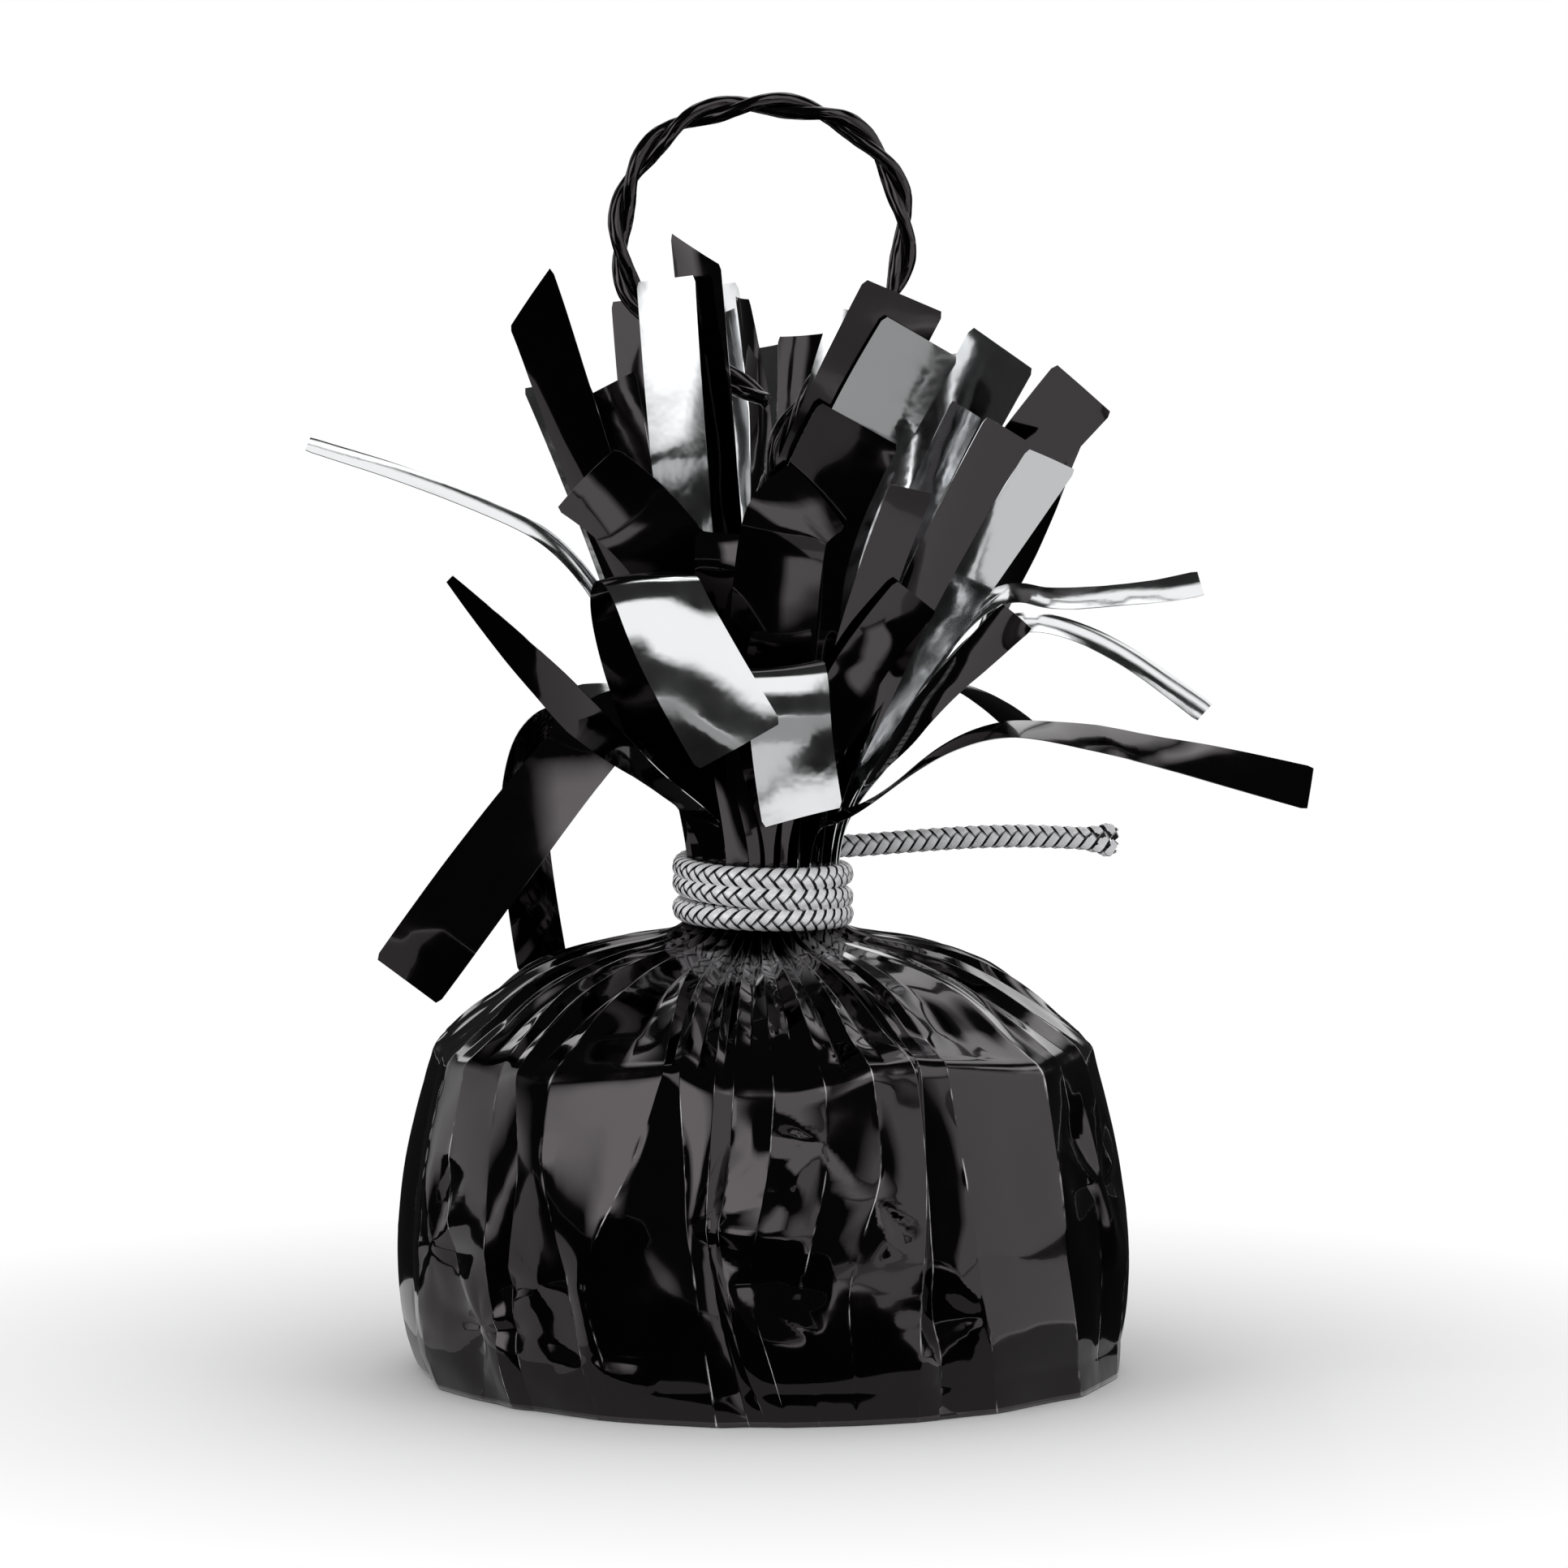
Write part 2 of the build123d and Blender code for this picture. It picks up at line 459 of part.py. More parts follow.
def make_strip(strip, lift):
    """Bend a strip along its route and write it out."""
    points = [strip_root(strip, lift)]
    points.extend(Vector(point) for point in strip.route)
    joints = [(a + b) * 0.5 for a, b in zip(points[1:-2], points[2:-1])]
    with BuildLine() as bend:
        for start, corner, end in zip([points[0]] + joints, points[1:-1], joints + [points[-1]]):
            Bezier(start, corner, end)
    length = bend.wire().length
    sections = SECTIONS_PER_POINT * len(strip.route)
    bearing = math.radians(strip.bearing)
    side = Vector(math.cos(bearing), math.sin(bearing), 0)
    with BuildPart() as ribbon:
        for station in range(sections + 1):
            share = station / sections
            along = bend.wire().tangent_at(share * length, position_mode=PositionMode.LENGTH)
            middle = bend.wire().position_at(share * length, position_mode=PositionMode.LENGTH)
            side = (side - along * side.dot(along)).normalized()
            across = side.rotate(Axis((0, 0, 0), along), strip.twist * share)
            section = Plane(middle, x_dir=across, z_dir=along if station else Vector(0, 0, 1))
            with BuildSketch(section):
                Rectangle(strip_width(strip, share * length, length), FILM)
        loft(ruled=True)
    finish(ribbon, strip.name)


for fringe_strip in STRIPS:
    make_strip(fringe_strip, 0)
for stray_strip in STRAY_STRIPS:
    make_strip(stray_strip, ROOT_PLAY)
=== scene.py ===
"""A balloon weight: a cast slug in two-sided film, tied at the neck, with a slit fringe and a rope loop."""
import math

import bpy
import numpy as np
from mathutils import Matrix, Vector, noise


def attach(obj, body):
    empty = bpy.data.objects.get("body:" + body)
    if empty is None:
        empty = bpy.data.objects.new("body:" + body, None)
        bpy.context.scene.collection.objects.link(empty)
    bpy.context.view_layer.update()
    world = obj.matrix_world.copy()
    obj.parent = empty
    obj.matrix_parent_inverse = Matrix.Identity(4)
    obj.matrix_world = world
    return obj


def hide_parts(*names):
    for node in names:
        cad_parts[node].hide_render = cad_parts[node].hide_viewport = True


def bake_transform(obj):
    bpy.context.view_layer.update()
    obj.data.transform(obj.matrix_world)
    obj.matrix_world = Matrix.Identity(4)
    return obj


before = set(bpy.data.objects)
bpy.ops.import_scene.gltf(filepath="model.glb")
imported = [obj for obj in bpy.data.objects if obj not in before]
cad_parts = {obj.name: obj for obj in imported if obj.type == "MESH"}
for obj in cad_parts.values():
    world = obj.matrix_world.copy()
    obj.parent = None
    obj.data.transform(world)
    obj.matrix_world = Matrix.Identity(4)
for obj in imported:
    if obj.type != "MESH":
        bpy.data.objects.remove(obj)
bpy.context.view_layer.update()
bpy.ops.object.select_all(action="DESELECT")


# Cast slug: a low drafted puck of cement, poured in a mould and knocked out. It stands loose inside the film, which
# hides it, so its own solid is only dressed, in pale cement with sand and pores.
class Shade:
    """A socket among a material's nodes. Sums on it add Math nodes, and make() adds any other node."""

    def __init__(self, tree, socket=None):
        self.tree = tree
        self.socket = socket

    def make(self, kind, sockets, settings=None, output=0):
        node = self.tree.nodes.new("ShaderNode" + kind)
        for name, value in (settings or {}).items():
            if name == "stops":
                for stop, (place, colour) in zip(node.color_ramp.elements, value):
                    stop.position = place
                    stop.color = (*colour, 1)
            else:
                setattr(node, name, value)
        for name, value in sockets.items():
            if isinstance(value, Shade):
                self.tree.links.new(value.socket, node.inputs[name])
            else:
                node.inputs[name].default_value = value
        return Shade(self.tree, node.outputs[output])

    def sum(self, operation, first, second):
        return self.make("Math", {0: first, 1: second}, {"operation": operation})

    def __add__(self, other):
        return self.sum("ADD", self, other)

    __radd__ = __add__

    def __rsub__(self, other):
        return self.sum("SUBTRACT", other, self)

    def __mul__(self, other):
        return self.sum("MULTIPLY", self, other)

    __rmul__ = __mul__

    def between(self, low, high):
        return self.make("MapRange", {"Value": self, "From Min": low, "From Max": high})


def new_finish(name, fixed):
    """A material whose even values are set on the shader itself, with a Shade to hang its pattern on."""
    finish = bpy.data.materials.new(name)
    finish.use_nodes = True
    shader = finish.node_tree.nodes["Principled BSDF"]
    for socket, value in fixed.items():
        shader.inputs[socket].default_value = value
    return finish, Shade(finish.node_tree)


def vary(finish, varied):
    """Link what changes over the surface to the shader."""
    shader = finish.node_tree.nodes["Principled BSDF"]
    for socket, value in varied.items():
        finish.node_tree.links.new(value.socket, shader.inputs[socket])


cement, shade = new_finish("cast_cement", {"Roughness": 0.9})
place = shade.make("TexCoord", {}, output="Object")
sand = shade.make("TexNoise", {"Vector": place, "Scale": 900, "Detail": 6})
tone = shade.make("ValToRGB", {"Fac": sand}, {"stops": [(0.3, (0.42, 0.4, 0.37)), (0.75, (0.66, 0.64, 0.6))]})
pores = shade.make("Bump", {"Height": sand, "Strength": 0.4, "Distance": 0.0003})
vary(cement, {"Base Color": tone, "Normal": pores})
slug = bpy.data.objects["weight_slug"]
slug.data.materials.clear()
slug.data.materials.append(cement)


# Film wrap: one sheet of thin polyester film, metallised silver on one face and lacquered black on the other, drawn
# up round the slug by hand. It falls in flat panels between sharp folds, creases over the slug's rim and runs in to
# the neck. The sizes of the pieces are in millimetres.
MM = 0.001
film_black, shade = new_finish("film_black_face", {"Coat Weight": 0.8, "Coat Roughness": 0.03, "Coat IOR": 1.5})
place = shade.make("TexCoord", {}, output="Object")
haze = shade.make("TexNoise", {"Vector": place, "Scale": 260, "Detail": 4})
ripple = shade.make("TexNoise", {"Vector": place, "Scale": 190, "Detail": 2})
crinkle = shade.make("Bump", {"Height": ripple, "Strength": 0.06, "Distance": 0.0003})
# Painted highlight: the lacquer is painted pale along the sharpest folds of the wrap, which carry the attribute, as
# the glints there.
painted_glint = shade.make("Attribute", {}, {"attribute_name": "painted_glint"}, output="Fac")
tone = shade.make("ValToRGB", {"Fac": painted_glint}, {"stops": [(0.1, (0.05, 0.043, 0.046)), (1.0, (0.8, 0.79, 0.8))]})
rough = haze.between(0.3, 0.75) * 0.1 + 0.04
vary(film_black, {
    "Base Color": tone,
    "Metallic": 1 - painted_glint * 0.8,
    "Roughness": rough + painted_glint * 0.25,
    "Normal": crinkle,
})

film_silver, shade = new_finish("film_silver_face", {"Metallic": 1.0, "Base Color": (0.86, 0.87, 0.88, 1)})
place = shade.make("TexCoord", {}, output="Object")
haze = shade.make("TexNoise", {"Vector": place, "Scale": 300, "Detail": 4})
ripple = shade.make("TexNoise", {"Vector": place, "Scale": 220, "Detail": 3})
crinkle = shade.make("Bump", {"Height": ripple, "Strength": 0.15, "Distance": 0.0003})
vary(film_silver, {"Roughness": haze.between(0.3, 0.75) * 0.1 + 0.05, "Normal": crinkle})


def new_piece(name, vertices, faces, *finishes):
    """A smooth mesh object at the origin, in metres, with its finishes."""
    mesh = bpy.data.meshes.new(name)
    mesh.from_pydata(np.asarray(vertices).tolist(), [], faces)
    mesh.shade_smooth()
    piece = bpy.data.objects.new(name, mesh)
    bpy.context.collection.objects.link(piece)
    for finish in finishes:
        mesh.materials.append(finish)
    return piece


def grid_faces(rows, columns, closed):
    """Quads between the rows of a grid whose columns may close round."""
    around = columns if closed else columns - 1
    return [
        (
            row * columns + column,
            row * columns + (column + 1) % columns,
            (row + 1) * columns + (column + 1) % columns,
            (row + 1) * columns + column,
        )
        for row in range(rows - 1)
        for column in range(around)
    ]


# Levels up the film: height, radius at the folds, and depth of the tucks between them. Under zero, the panels swell.
WRAP_LEVELS = [
    (0.0, 30.8, -0.05), (2.4, 31.9, -0.15), (6.0, 32.4, -0.15), (12.0, 32.5, -0.15), (17.0, 32.0, -0.15),
    (22.0, 31.2, -0.15), (29.2, 29.33, -0.05), (32.4, 25.9, 0.8), (35.6, 21.9, 1.7), (37.0, 18.9, 2.7),
    (38.7, 13.4, 4.5), (39.3, 7.6, 2.2), (39.9, 6.3, 0.8), (41.5, 6.0, 0.6),
]
RIM_HEIGHT = 29.2
RIM_RADIUS = 29.33
NECK_RADIUS = 6.2
FOLD_HEIGHTS = (0.0, 6.0, 12.0, 17.0, 22.0, RIM_HEIGHT)
# Each fold: its bearings from the front at the fold heights, its bearing at the neck, how far it stands out at the
# fold heights, and the place and depth of the tuck after it.
FOLDS = [
    ((-90, -90, -89, -89, -90, -91), -97, (0.1, 0.2, 0.3, 0.3, 0.3, 0.1), 0.45, 0.8),
    ((-77, -77, -77, -78, -78, -80), -86, (-0.4, -0.6, -0.6, -0.5, -0.4, -0.2), 0.55, 0.7),
    ((-68, -68, -68, -69, -70, -71), -76, (0.3, 0.3, 0.3, 0.3, 0.3, 0.1), 0.4, 0.9),
    ((-54, -50, -57, -61, -61, -63), -66, (-0.3, -1.0, -0.5, 0.1, 0.3, 0.2), 0.5, 0.8),
    ((-45, -46, -48, -48, -49.5, -53), -56, (0.3, 0.1, 0.3, 0.4, 0.3, -0.3), 0.6, 0.9),
    ((-41, -43, -45, -44, -43, -47), -47, (-0.3, -0.8, -0.9, -0.6, -0.1, 0.3), 0.5, 1.0),
    ((-27, -30, -32, -35, -38, -39), -36, (0.2, -0.3, -0.8, 0.0, 0.3, 0.4), 0.62, 1.1),
    ((-23, -26, -29.5, -26, -21.5, -17), -27, (0.3, 0.0, -0.2, 0.45, 0.25, 0.0), 0.5, 0.9),
    ((-7, -8.5, -10, -12, -12.5, -14.5), -18, (0.4, 0.3, 0.2, -0.3, -0.3, -0.3), 0.5, 0.8),
    ((-2, -5.0, -7.5, -9.0, -8.5, -8), -12, (-0.4, -0.5, -0.4, -0.2, 0.4, 0.6), 0.45, 1.1),
    ((1, -3.5, -5.5, -7.5, -5.5, -5), -7, (-0.3, -0.2, -0.5, -0.9, -0.9, -0.3), 0.45, 0.6),
    ((4, 1, -2.5, -1, 1, 2), -1, (0.1, 0.2, -0.2, 0.4, 0.5, 0.2), 0.5, 0.7),
    ((9, 7, 6, 8, 10.5, 11), 4, (0.1, 0.1, 0.0, -0.1, -0.5, -0.2), 0.5, 0.8),
    ((15, 14, 13, 16, 20, 19), 12, (0.1, 0.0, 0.1, 0.3, -0.3, 0.1), 0.4, 0.7),
    ((25, 25, 25, 26, 27, 27), 19, (0.3, 0.4, 0.5, 0.5, 0.4, 0.3), 0.5, 0.5),
    ((30, 29.5, 28, 28, 28, 28.5), 24, (-0.1, -1.2, -1.0, -0.9, -0.8, -0.3), 0.55, 0.9),
    ((40, 38, 35, 34.5, 33.5, 33), 32, (0.2, 0.3, 0.5, 0.5, 0.5, 0.2), 0.4, 1.1),
    ((61, 58, 55, 55, 55, 57), 47, (0.4, 0.3, 0.4, 0.4, 0.4, 0.2), 0.6, 0.8),
    ((70, 69, 69, 68.5, 67, 64), 57, (0.0, -0.4, -0.4, -0.5, -1.2, 0.0), 0.5, 0.9),
    ((80, 79, 79, 78, 76, 75), 68, (0.3, 0.4, 0.4, 0.3, 0.2, 0.2), 0.42, 0.8),
    ((90, 89, 89, 89, 88, 88), 80, (0.1, 0.2, 0.3, 0.2, 0.2, 0.1), 0.5, 0.9),
    ((97, 97, 99, 100, 99, 99), 90, (0.2, 0.3, 0.3, 0.3, 0.2, 0.1), 0.46, 0.9),
    ((106, 105, 107, 107, 109, 109), 100, (-0.5, -0.4, -0.7, -0.5, -0.3, 0.0), 0.55, 1.1),
    ((116, 117, 118, 117, 117, 116), 107, (0.3, 0.3, -1.1, 0.4, 0.3, 0.0), 0.48, 0.7),
    ((125, 126, 124, 125, 124, 124), 115, (-0.2, -0.2, -0.4, -0.3, -0.2, -0.1), 0.35, 1.0),
    ((136, 135, 136, 135, 135, 135), 125, (-0.1, -1.0, 0.2, 0.2, 0.3, 0.3), 0.57, 0.8),
    ((144, 143, 144, 143, 144, 146), 134, (-0.3, -0.9, -0.9, -0.9, -0.4, -0.1), 0.58, 1.0),
    ((153, 153, 152, 150, 149, 152), 143, (0.3, 0.2, 0.2, 0.1, 0.2, 0.1), 0.39, 1.0),
    ((162, 163, 162, 161, 163, 163), 150, (-0.1, -0.3, -1.1, -0.3, -0.5, -0.2), 0.49, 0.6),
    ((171, 171, 171, 168, 170, 169), 159, (0.3, 0.5, 0.5, 0.3, 0.2, 0.2), 0.55, 0.9),
    ((177, 179, 179, 180, 181, 181), 169, (-0.4, -1.0, -0.9, -0.7, -0.7, -0.2), 0.37, 1.0),
    ((188, 188, 189, 189, 191, 189), 177, (0.3, 0.5, 0.4, 0.4, 0.1, 0.3), 0.36, 1.1),
    ((196, 195, 197, 197, 199, 199), 187, (-0.2, -0.5, -0.6, -0.4, -0.5, -0.2), 0.46, 0.7),
    ((206, 205, 208, 208, 209, 209), 194, (0.4, 0.4, -1.1, 0.5, 0.5, 0.1), 0.44, 0.9),
    ((214, 214, 217, 217, 217, 218), 204, (-0.3, -0.6, -0.8, -0.8, -0.5, -0.2), 0.46, 1.0),
    ((226, 226, 227, 226, 225, 226), 212, (0.3, -1.0, 0.1, 0.4, 0.3, 0.2), 0.47, 0.6),
    ((234, 235, 235, 235, 235, 235), 221, (-0.5, -0.6, -0.6, -0.6, -0.4, -0.1), 0.6, 0.6),
    ((246, 247, 245, 245, 245, 245), 232, (0.3, 0.4, 0.4, 0.4, 0.4, 0.1), 0.35, 0.8),
    ((254, 255, 254, 254, 254, 256), 243, (-0.5, -0.7, -1.1, -0.6, -0.4, -0.1), 0.6, 1.0),
    ((262, 262, 263, 262, 263, 263), 253, (0.2, 0.3, 0.4, 0.3, 0.3, 0.2), 0.41, 0.8),
]
# Columns across one panel, close together at its folds and at its tuck.
ACROSS = (0, 0.02, 0.06, 0.14, 0.26, 0.38, 0.46, 0.5, 0.54, 0.62, 0.74, 0.86, 0.94, 0.98)
WRAP_ROWS = 160
# Distances over which the film eases from level to level, and over which its rim eases otherwise and lifts.
PROFILE_EASE = 2.4
SHOULDER_EASE = 1.0
TUCK_RIM_EASE = 0.4
FOLD_EASES = (1.6, 0.5)
RIM_REACH = 2.5
LIFT_REACH = 4.5
level_height, level_radius, level_tuck = np.array(WRAP_LEVELS).T
level_run = np.concatenate([[0], np.cumsum(np.hypot(np.diff(level_height), np.diff(level_radius)))])
run = np.linspace(0, level_run[-1], WRAP_ROWS)
row_step = run[1]
from_rim = run - np.interp(RIM_HEIGHT, level_height, level_run)


def up_film(values, ease, rim_ease):
    """A value given at the levels, at each row: eased over one distance, and over another near the rim."""
    line = np.interp(run, level_run, values)
    eased = []
    for distance in (ease, rim_ease):
        span = int(3 * distance / row_step) + 1
        weight = np.exp(-0.5 * (np.arange(-span, span + 1) * row_step / distance) ** 2)
        padded = np.pad(line, span, mode="reflect", reflect_type="odd")
        eased.append(np.convolve(padded, weight / weight.sum(), mode="valid"))
    near_rim = np.exp(-((from_rim / RIM_REACH) ** 2))
    return eased[0] * (1 - near_rim) + eased[1] * near_rim


# How far the crease over the rim lifts off the slug, by bearing.
RIM_LIFTS = [
    (-100, 0.2), (-68, -0.1), (-51, 0.4), (-37, 0.1), (-26, 0.7), (-15, 1.4), (-5, -0.2), (10, -0.2), (18, 1.3),
    (24, 1.6), (41, 1.1), (55, -0.1), (75, 0.6), (95, 0.0), (120, 0.8), (140, 0.1), (160, 1.0), (185, 0.2),
    (205, 0.9), (235, 0.1), (260, 0.2),
]
# How far the hem turns out over the table, by bearing, and up to what height.
HEM_TURNS = [(-110, 0.0), (-90, -0.2), (-45, -0.2), (-25, 0.3), (-8, 0.9), (90, 0.9), (110, 0.2), (250, 0.0)]
HEM_HEIGHT = 3
# Some tucks are pressed nearly flat.
TUCK_SHARES = [0.2, 0.7, 1.0, 1.3]
chance = np.random.default_rng(11)
gathered = np.where(level_height > RIM_HEIGHT, (RIM_RADIUS - level_radius) / (RIM_RADIUS - NECK_RADIUS), 0)
tucks = up_film(level_tuck, PROFILE_EASE, TUCK_RIM_EASE)
up_shoulder = up_film(np.sin(math.pi * gathered), SHOULDER_EASE, TUCK_RIM_EASE)
ridges = []
for bearings, neck_bearing, stands, _, _ in FOLDS:
    bearing = np.interp(level_height, FOLD_HEIGHTS, bearings)
    turn = np.radians(up_film(bearing + (neck_bearing - bearing) * gathered, *FOLD_EASES))
    stand = np.interp(level_height, FOLD_HEIGHTS, stands) * np.clip(1 - 4 * gathered, 0, 1)
    softness = chance.uniform(0.3, 2.2)
    lift = np.interp(bearings[-1], *zip(*RIM_LIFTS)) * np.exp(-((from_rim / LIFT_REACH) ** 2))
    radius = up_film(level_radius, PROFILE_EASE, softness) + up_film(stand, *FOLD_EASES)
    radius = radius + chance.uniform(-0.5, 0.9) * up_shoulder
    height = up_film(level_height, PROFILE_EASE, softness) + lift
    radius += np.interp(bearings[0], *zip(*HEM_TURNS)) * np.clip(1 - height / HEM_HEIGHT, 0, 1)
    ridges.append(np.stack([radius * np.sin(turn), -radius * np.cos(turn), height], axis=1))
columns = []
for number, ((_, _, _, tuck_place, tuck_depth), ridge) in enumerate(zip(FOLDS, ridges)):
    following = ridges[(number + 1) % len(ridges)]
    tuck_depth *= chance.choice(TUCK_SHARES)
    for share in ACROSS:
        across = 2 * share * tuck_place if share < 0.5 else tuck_place + (2 * share - 1) * (1 - tuck_place)
        fold = 1 - abs(2 * share - 1)
        depth = np.where(tucks > 0, tuck_depth * tucks * fold, tucks * fold * (2 - fold))
        column = ridge + (following - ridge) * across
        column[:, :2] *= (1 - depth / np.linalg.norm(column[:, :2], axis=1))[:, None]
        columns.append(column)
skin = np.stack(columns, axis=1)

# Crumples: points from which creases fan out where the film was pushed in. Each has a bearing, a height, a reach, and
# the first and last ways that its creases run, counted from the right.
STARS = [
    (-11.2, 17.2, 10.0, -55, 55), (-5.3, 12.4, 9.0, -80, 50), (35.6, 8.9, 8.0, 95, 260), (-64, 13.4, 8.0, 0, 360),
    (-38.5, 11.2, 7.0, 0, 360), (-50, 7.0, 6.0, 0, 360), (-28, 5.5, 7.0, 0, 360), (9.5, 24.5, 6.0, 100, 290),
    (18, 19.5, 5.0, 150, 330), (72, 18, 8.0, 0, 360), (110, 12, 8.0, 0, 360), (128, 20, 8.0, 0, 360),
    (150, 9, 8.0, 0, 360), (176, 15, 9.0, 0, 360), (200, 8, 7.0, 0, 360), (214, 19, 8.0, 0, 360),
    (243, 11, 8.0, 0, 360),
]
STAR_CREASES = 6
SIDE_RADIUS = 32
FIRST_BEARING = -100
turns = np.degrees(np.arctan2(skin[..., 0], -skin[..., 1]))
turns = np.where(turns < FIRST_BEARING, turns + 360, turns)
creases = np.zeros(turns.shape)
for at, height, reach, first, last in STARS:
    ways = np.cumsum(chance.uniform(0.5, 1.6, STAR_CREASES))
    ways = np.radians(first + (last - first) * ways / ways[-1])
    aside, above = np.radians(turns - at) * SIDE_RADIUS / reach, (skin[..., 2] - height) / reach
    for way, rise in zip(ways, chance.uniform(-0.55, 0.45, STAR_CREASES)):
        along = np.clip(aside * math.cos(way) + above * math.sin(way), 0, 1)
        across = np.abs(above * math.cos(way) - aside * math.sin(way))
        creases += 4 * rise * along * (1 - along) * np.clip(1 - across / (0.04 + 0.4 * along), 0, 1)
# Between them the side is crushed into flat facets: sets of straight folds laid over each other, each with its folds
# per millimetre along and up the side. They are deeper at the hem and in patches, each with a bearing, a height and
# how far it spreads both ways.
FACETS = [(0.055, 0.045), (0.085, -0.035), (0.02, 0.11), (0.12, 0.07)]
FACET_DEPTH = 0.12
HEM_DEPTH, HEM_SPREAD = 0.3, 5
PATCH_DEPTH = 0.5
PATCHES = [
    (-50, 6, 15, 6), (-8, 13, 10, 7), (32, 6, 9, 6), (75, 14, 9, 9), (120, 10, 20, 8), (180, 12, 20, 9),
    (235, 9, 20, 8),
]
# The shoulder ripples, but less near the rim. A broken crinkle runs along each fold, and a painted highlight, broken
# like glints, runs there and along the rim. All of it fades towards the neck, from these radii in.
RIPPLE_START, RIPPLE_RADIUS = 5, 18
CRINKLE_DEPTH, CRINKLE_RADIUS = 0.3, 28
GLINT_RADIUS, RIM_GLINT = 20, 0.3
WAVE_DEPTH = 0.07
LOWEST = 0.12
painted_glints = np.zeros(turns.shape)
for row in range(WRAP_ROWS):
    for column in range(skin.shape[1]):
        x, y, z = skin[row, column]
        radius = math.hypot(x, y)
        turn = math.atan2(x, -y)
        push = WAVE_DEPTH * noise.noise(Vector((x, y, z * 0.35)) * 0.16)
        if from_rim[row] < 1:
            depth = FACET_DEPTH + HEM_DEPTH * max(0, 1 - z / HEM_SPREAD)
            for at, height, wide, tall in PATCHES:
                off = (turns[row, column] - at) / wide
                depth += PATCH_DEPTH * math.exp(-(off**2) - ((z - height) / tall) ** 2)
            warp = 0.4 * noise.noise(Vector((x, y, z)) * 0.09)
            facet = sum(abs((turn * SIDE_RADIUS * along + z * up + warp) % 1 - 0.5) for along, up in FACETS) / 2
            push += depth * (facet - 0.5) + creases[row, column]
        else:
            spin = Vector((math.cos(turn), math.sin(turn), 0))
            wave = noise.noise(spin * 9 + Vector((0, 0, radius * 0.08)))
            facet = noise.voronoi(spin * 3.2 + Vector((0, 0, radius * 0.11)))[0][0]
            calm = min(1, from_rim[row] / RIPPLE_START) * min(1, radius / RIPPLE_RADIUS)
            push += calm * (0.02 * radius * wave + 0.05 * radius * (0.4 - facet))
        share = ACROSS[column % len(ACROSS)]
        beside = max(0, 1 - 14 * min(share, 1 - share))
        patchy = max(0, 0.2 + noise.noise(Vector((x * 0.25, y * 0.25, z * 0.12 + 30))))
        broken = beside * patchy * min(1, radius / CRINKLE_RADIUS) ** 2
        push += CRINKLE_DEPTH * broken * noise.noise(Vector((x * 0.3, y * 0.3, run[row] * 0.45)))
        skin[row, column] = (x * (1 + push / radius), y * (1 + push / radius), max(z, LOWEST))
        # The painted highlight along the folds and the rim, broken up by noise.
        glint_breakup = noise.noise(Vector((x * 0.35, y * 0.35, run[row] * 0.22)))
        glint_breakup += 0.5 * noise.noise(Vector((x, y, run[row])) * 1.1)
        sharp = max(1 - share * 50, 0) + RIM_GLINT * math.exp(-((from_rim[row] / 0.3) ** 2))
        painted_glints[row, column] = min(1, sharp * max(0, 0.05 + 1.7 * glint_breakup)) * min(1, radius / GLINT_RADIUS) ** 2
# The underside closes in over the table to its middle.
UNDER_SHARES = (0.4, 0.7, 0.9)
UNDER_MIDDLE = (0, 0, 0.15)
around = skin.shape[1]
rings = [skin[0] * (share, share, 1) for share in UNDER_SHARES] + [*skin]
vertices = np.concatenate([*rings, [UNDER_MIDDLE]])
faces = grid_faces(len(rings), around, True)
faces += [((column + 1) % around, column, len(vertices) - 1) for column in range(around)]
outer_faces = len(faces)

# The silver face inside: the same film at fewer points, between the black face and the slug.
LINING_GAP = 0.8
LINING_ROW_STEP = 5
LINING_ACROSS = (0, 4, 7, 11)
kept = [column for column in range(around) if column % len(ACROSS) in LINING_ACROSS]
lining = skin[::LINING_ROW_STEP, kept]
inward = 1 - LINING_GAP / np.linalg.norm(lining[..., :2], axis=2, keepdims=True)
lining = lining * inward * (1, 1, 0) + lining * (0, 0, 1)
rings = [lining[0] * (share, share, 1) for share in UNDER_SHARES[:2]] + [*lining]
inside = lining.shape[1]
start = len(vertices)
vertices = np.concatenate([vertices, *rings, [UNDER_MIDDLE]]) * MM
faces += [tuple(start + corner for corner in face[::-1]) for face in grid_faces(len(rings), inside, True)]
faces += [(start + column, start + (column + 1) % inside, len(vertices) - 1) for column in range(inside)]
wrap = new_piece("film_wrap", vertices, faces, film_black, film_silver)
# The painted highlight goes on the points of the black face.
glint_per_point = np.zeros(len(vertices))
glint_per_point[len(UNDER_SHARES) * around :][: painted_glints.size] = painted_glints.ravel()
wrap.data.attributes.new("painted_glint", "FLOAT", "POINT").data.foreach_set("value", glint_per_point)
for face in wrap.data.polygons[outer_faces:]:
    face.material_index = 1
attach(wrap, "base")
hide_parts("foil_wrap")


# Gathered neck: the film bunched into close pleats where the cord grips it. The strips start out of it above the tie.
# Its rings have a height, and radii at the ridges and in the valleys of the pleats.
NECK_RINGS = [
    (39.4, 6.2, 5.3), (42, 6.1, 5.2), (45.6, 6.2, 5.2), (47.2, 6.3, 5.2), (48.4, 6.2, 5.0), (49.6, 5.9, 4.6),
]
NECK_MIDDLE = 49
NECK_PLEATS = 34
PLEAT_COLUMNS = 4
around = PLEAT_COLUMNS * NECK_PLEATS
vertices = []
for height, ridge, valley in NECK_RINGS:
    for column in range(around):
        share = abs((column / PLEAT_COLUMNS) % 1 * 2 - 1)
        turn = 2 * math.pi * column / around
        radius = valley + (ridge - valley) * share + 0.3 * noise.noise(Vector((column * 0.9, height * 0.4, 3)))
        vertices.append((radius * math.sin(turn) * MM, -radius * math.cos(turn) * MM, height * MM))
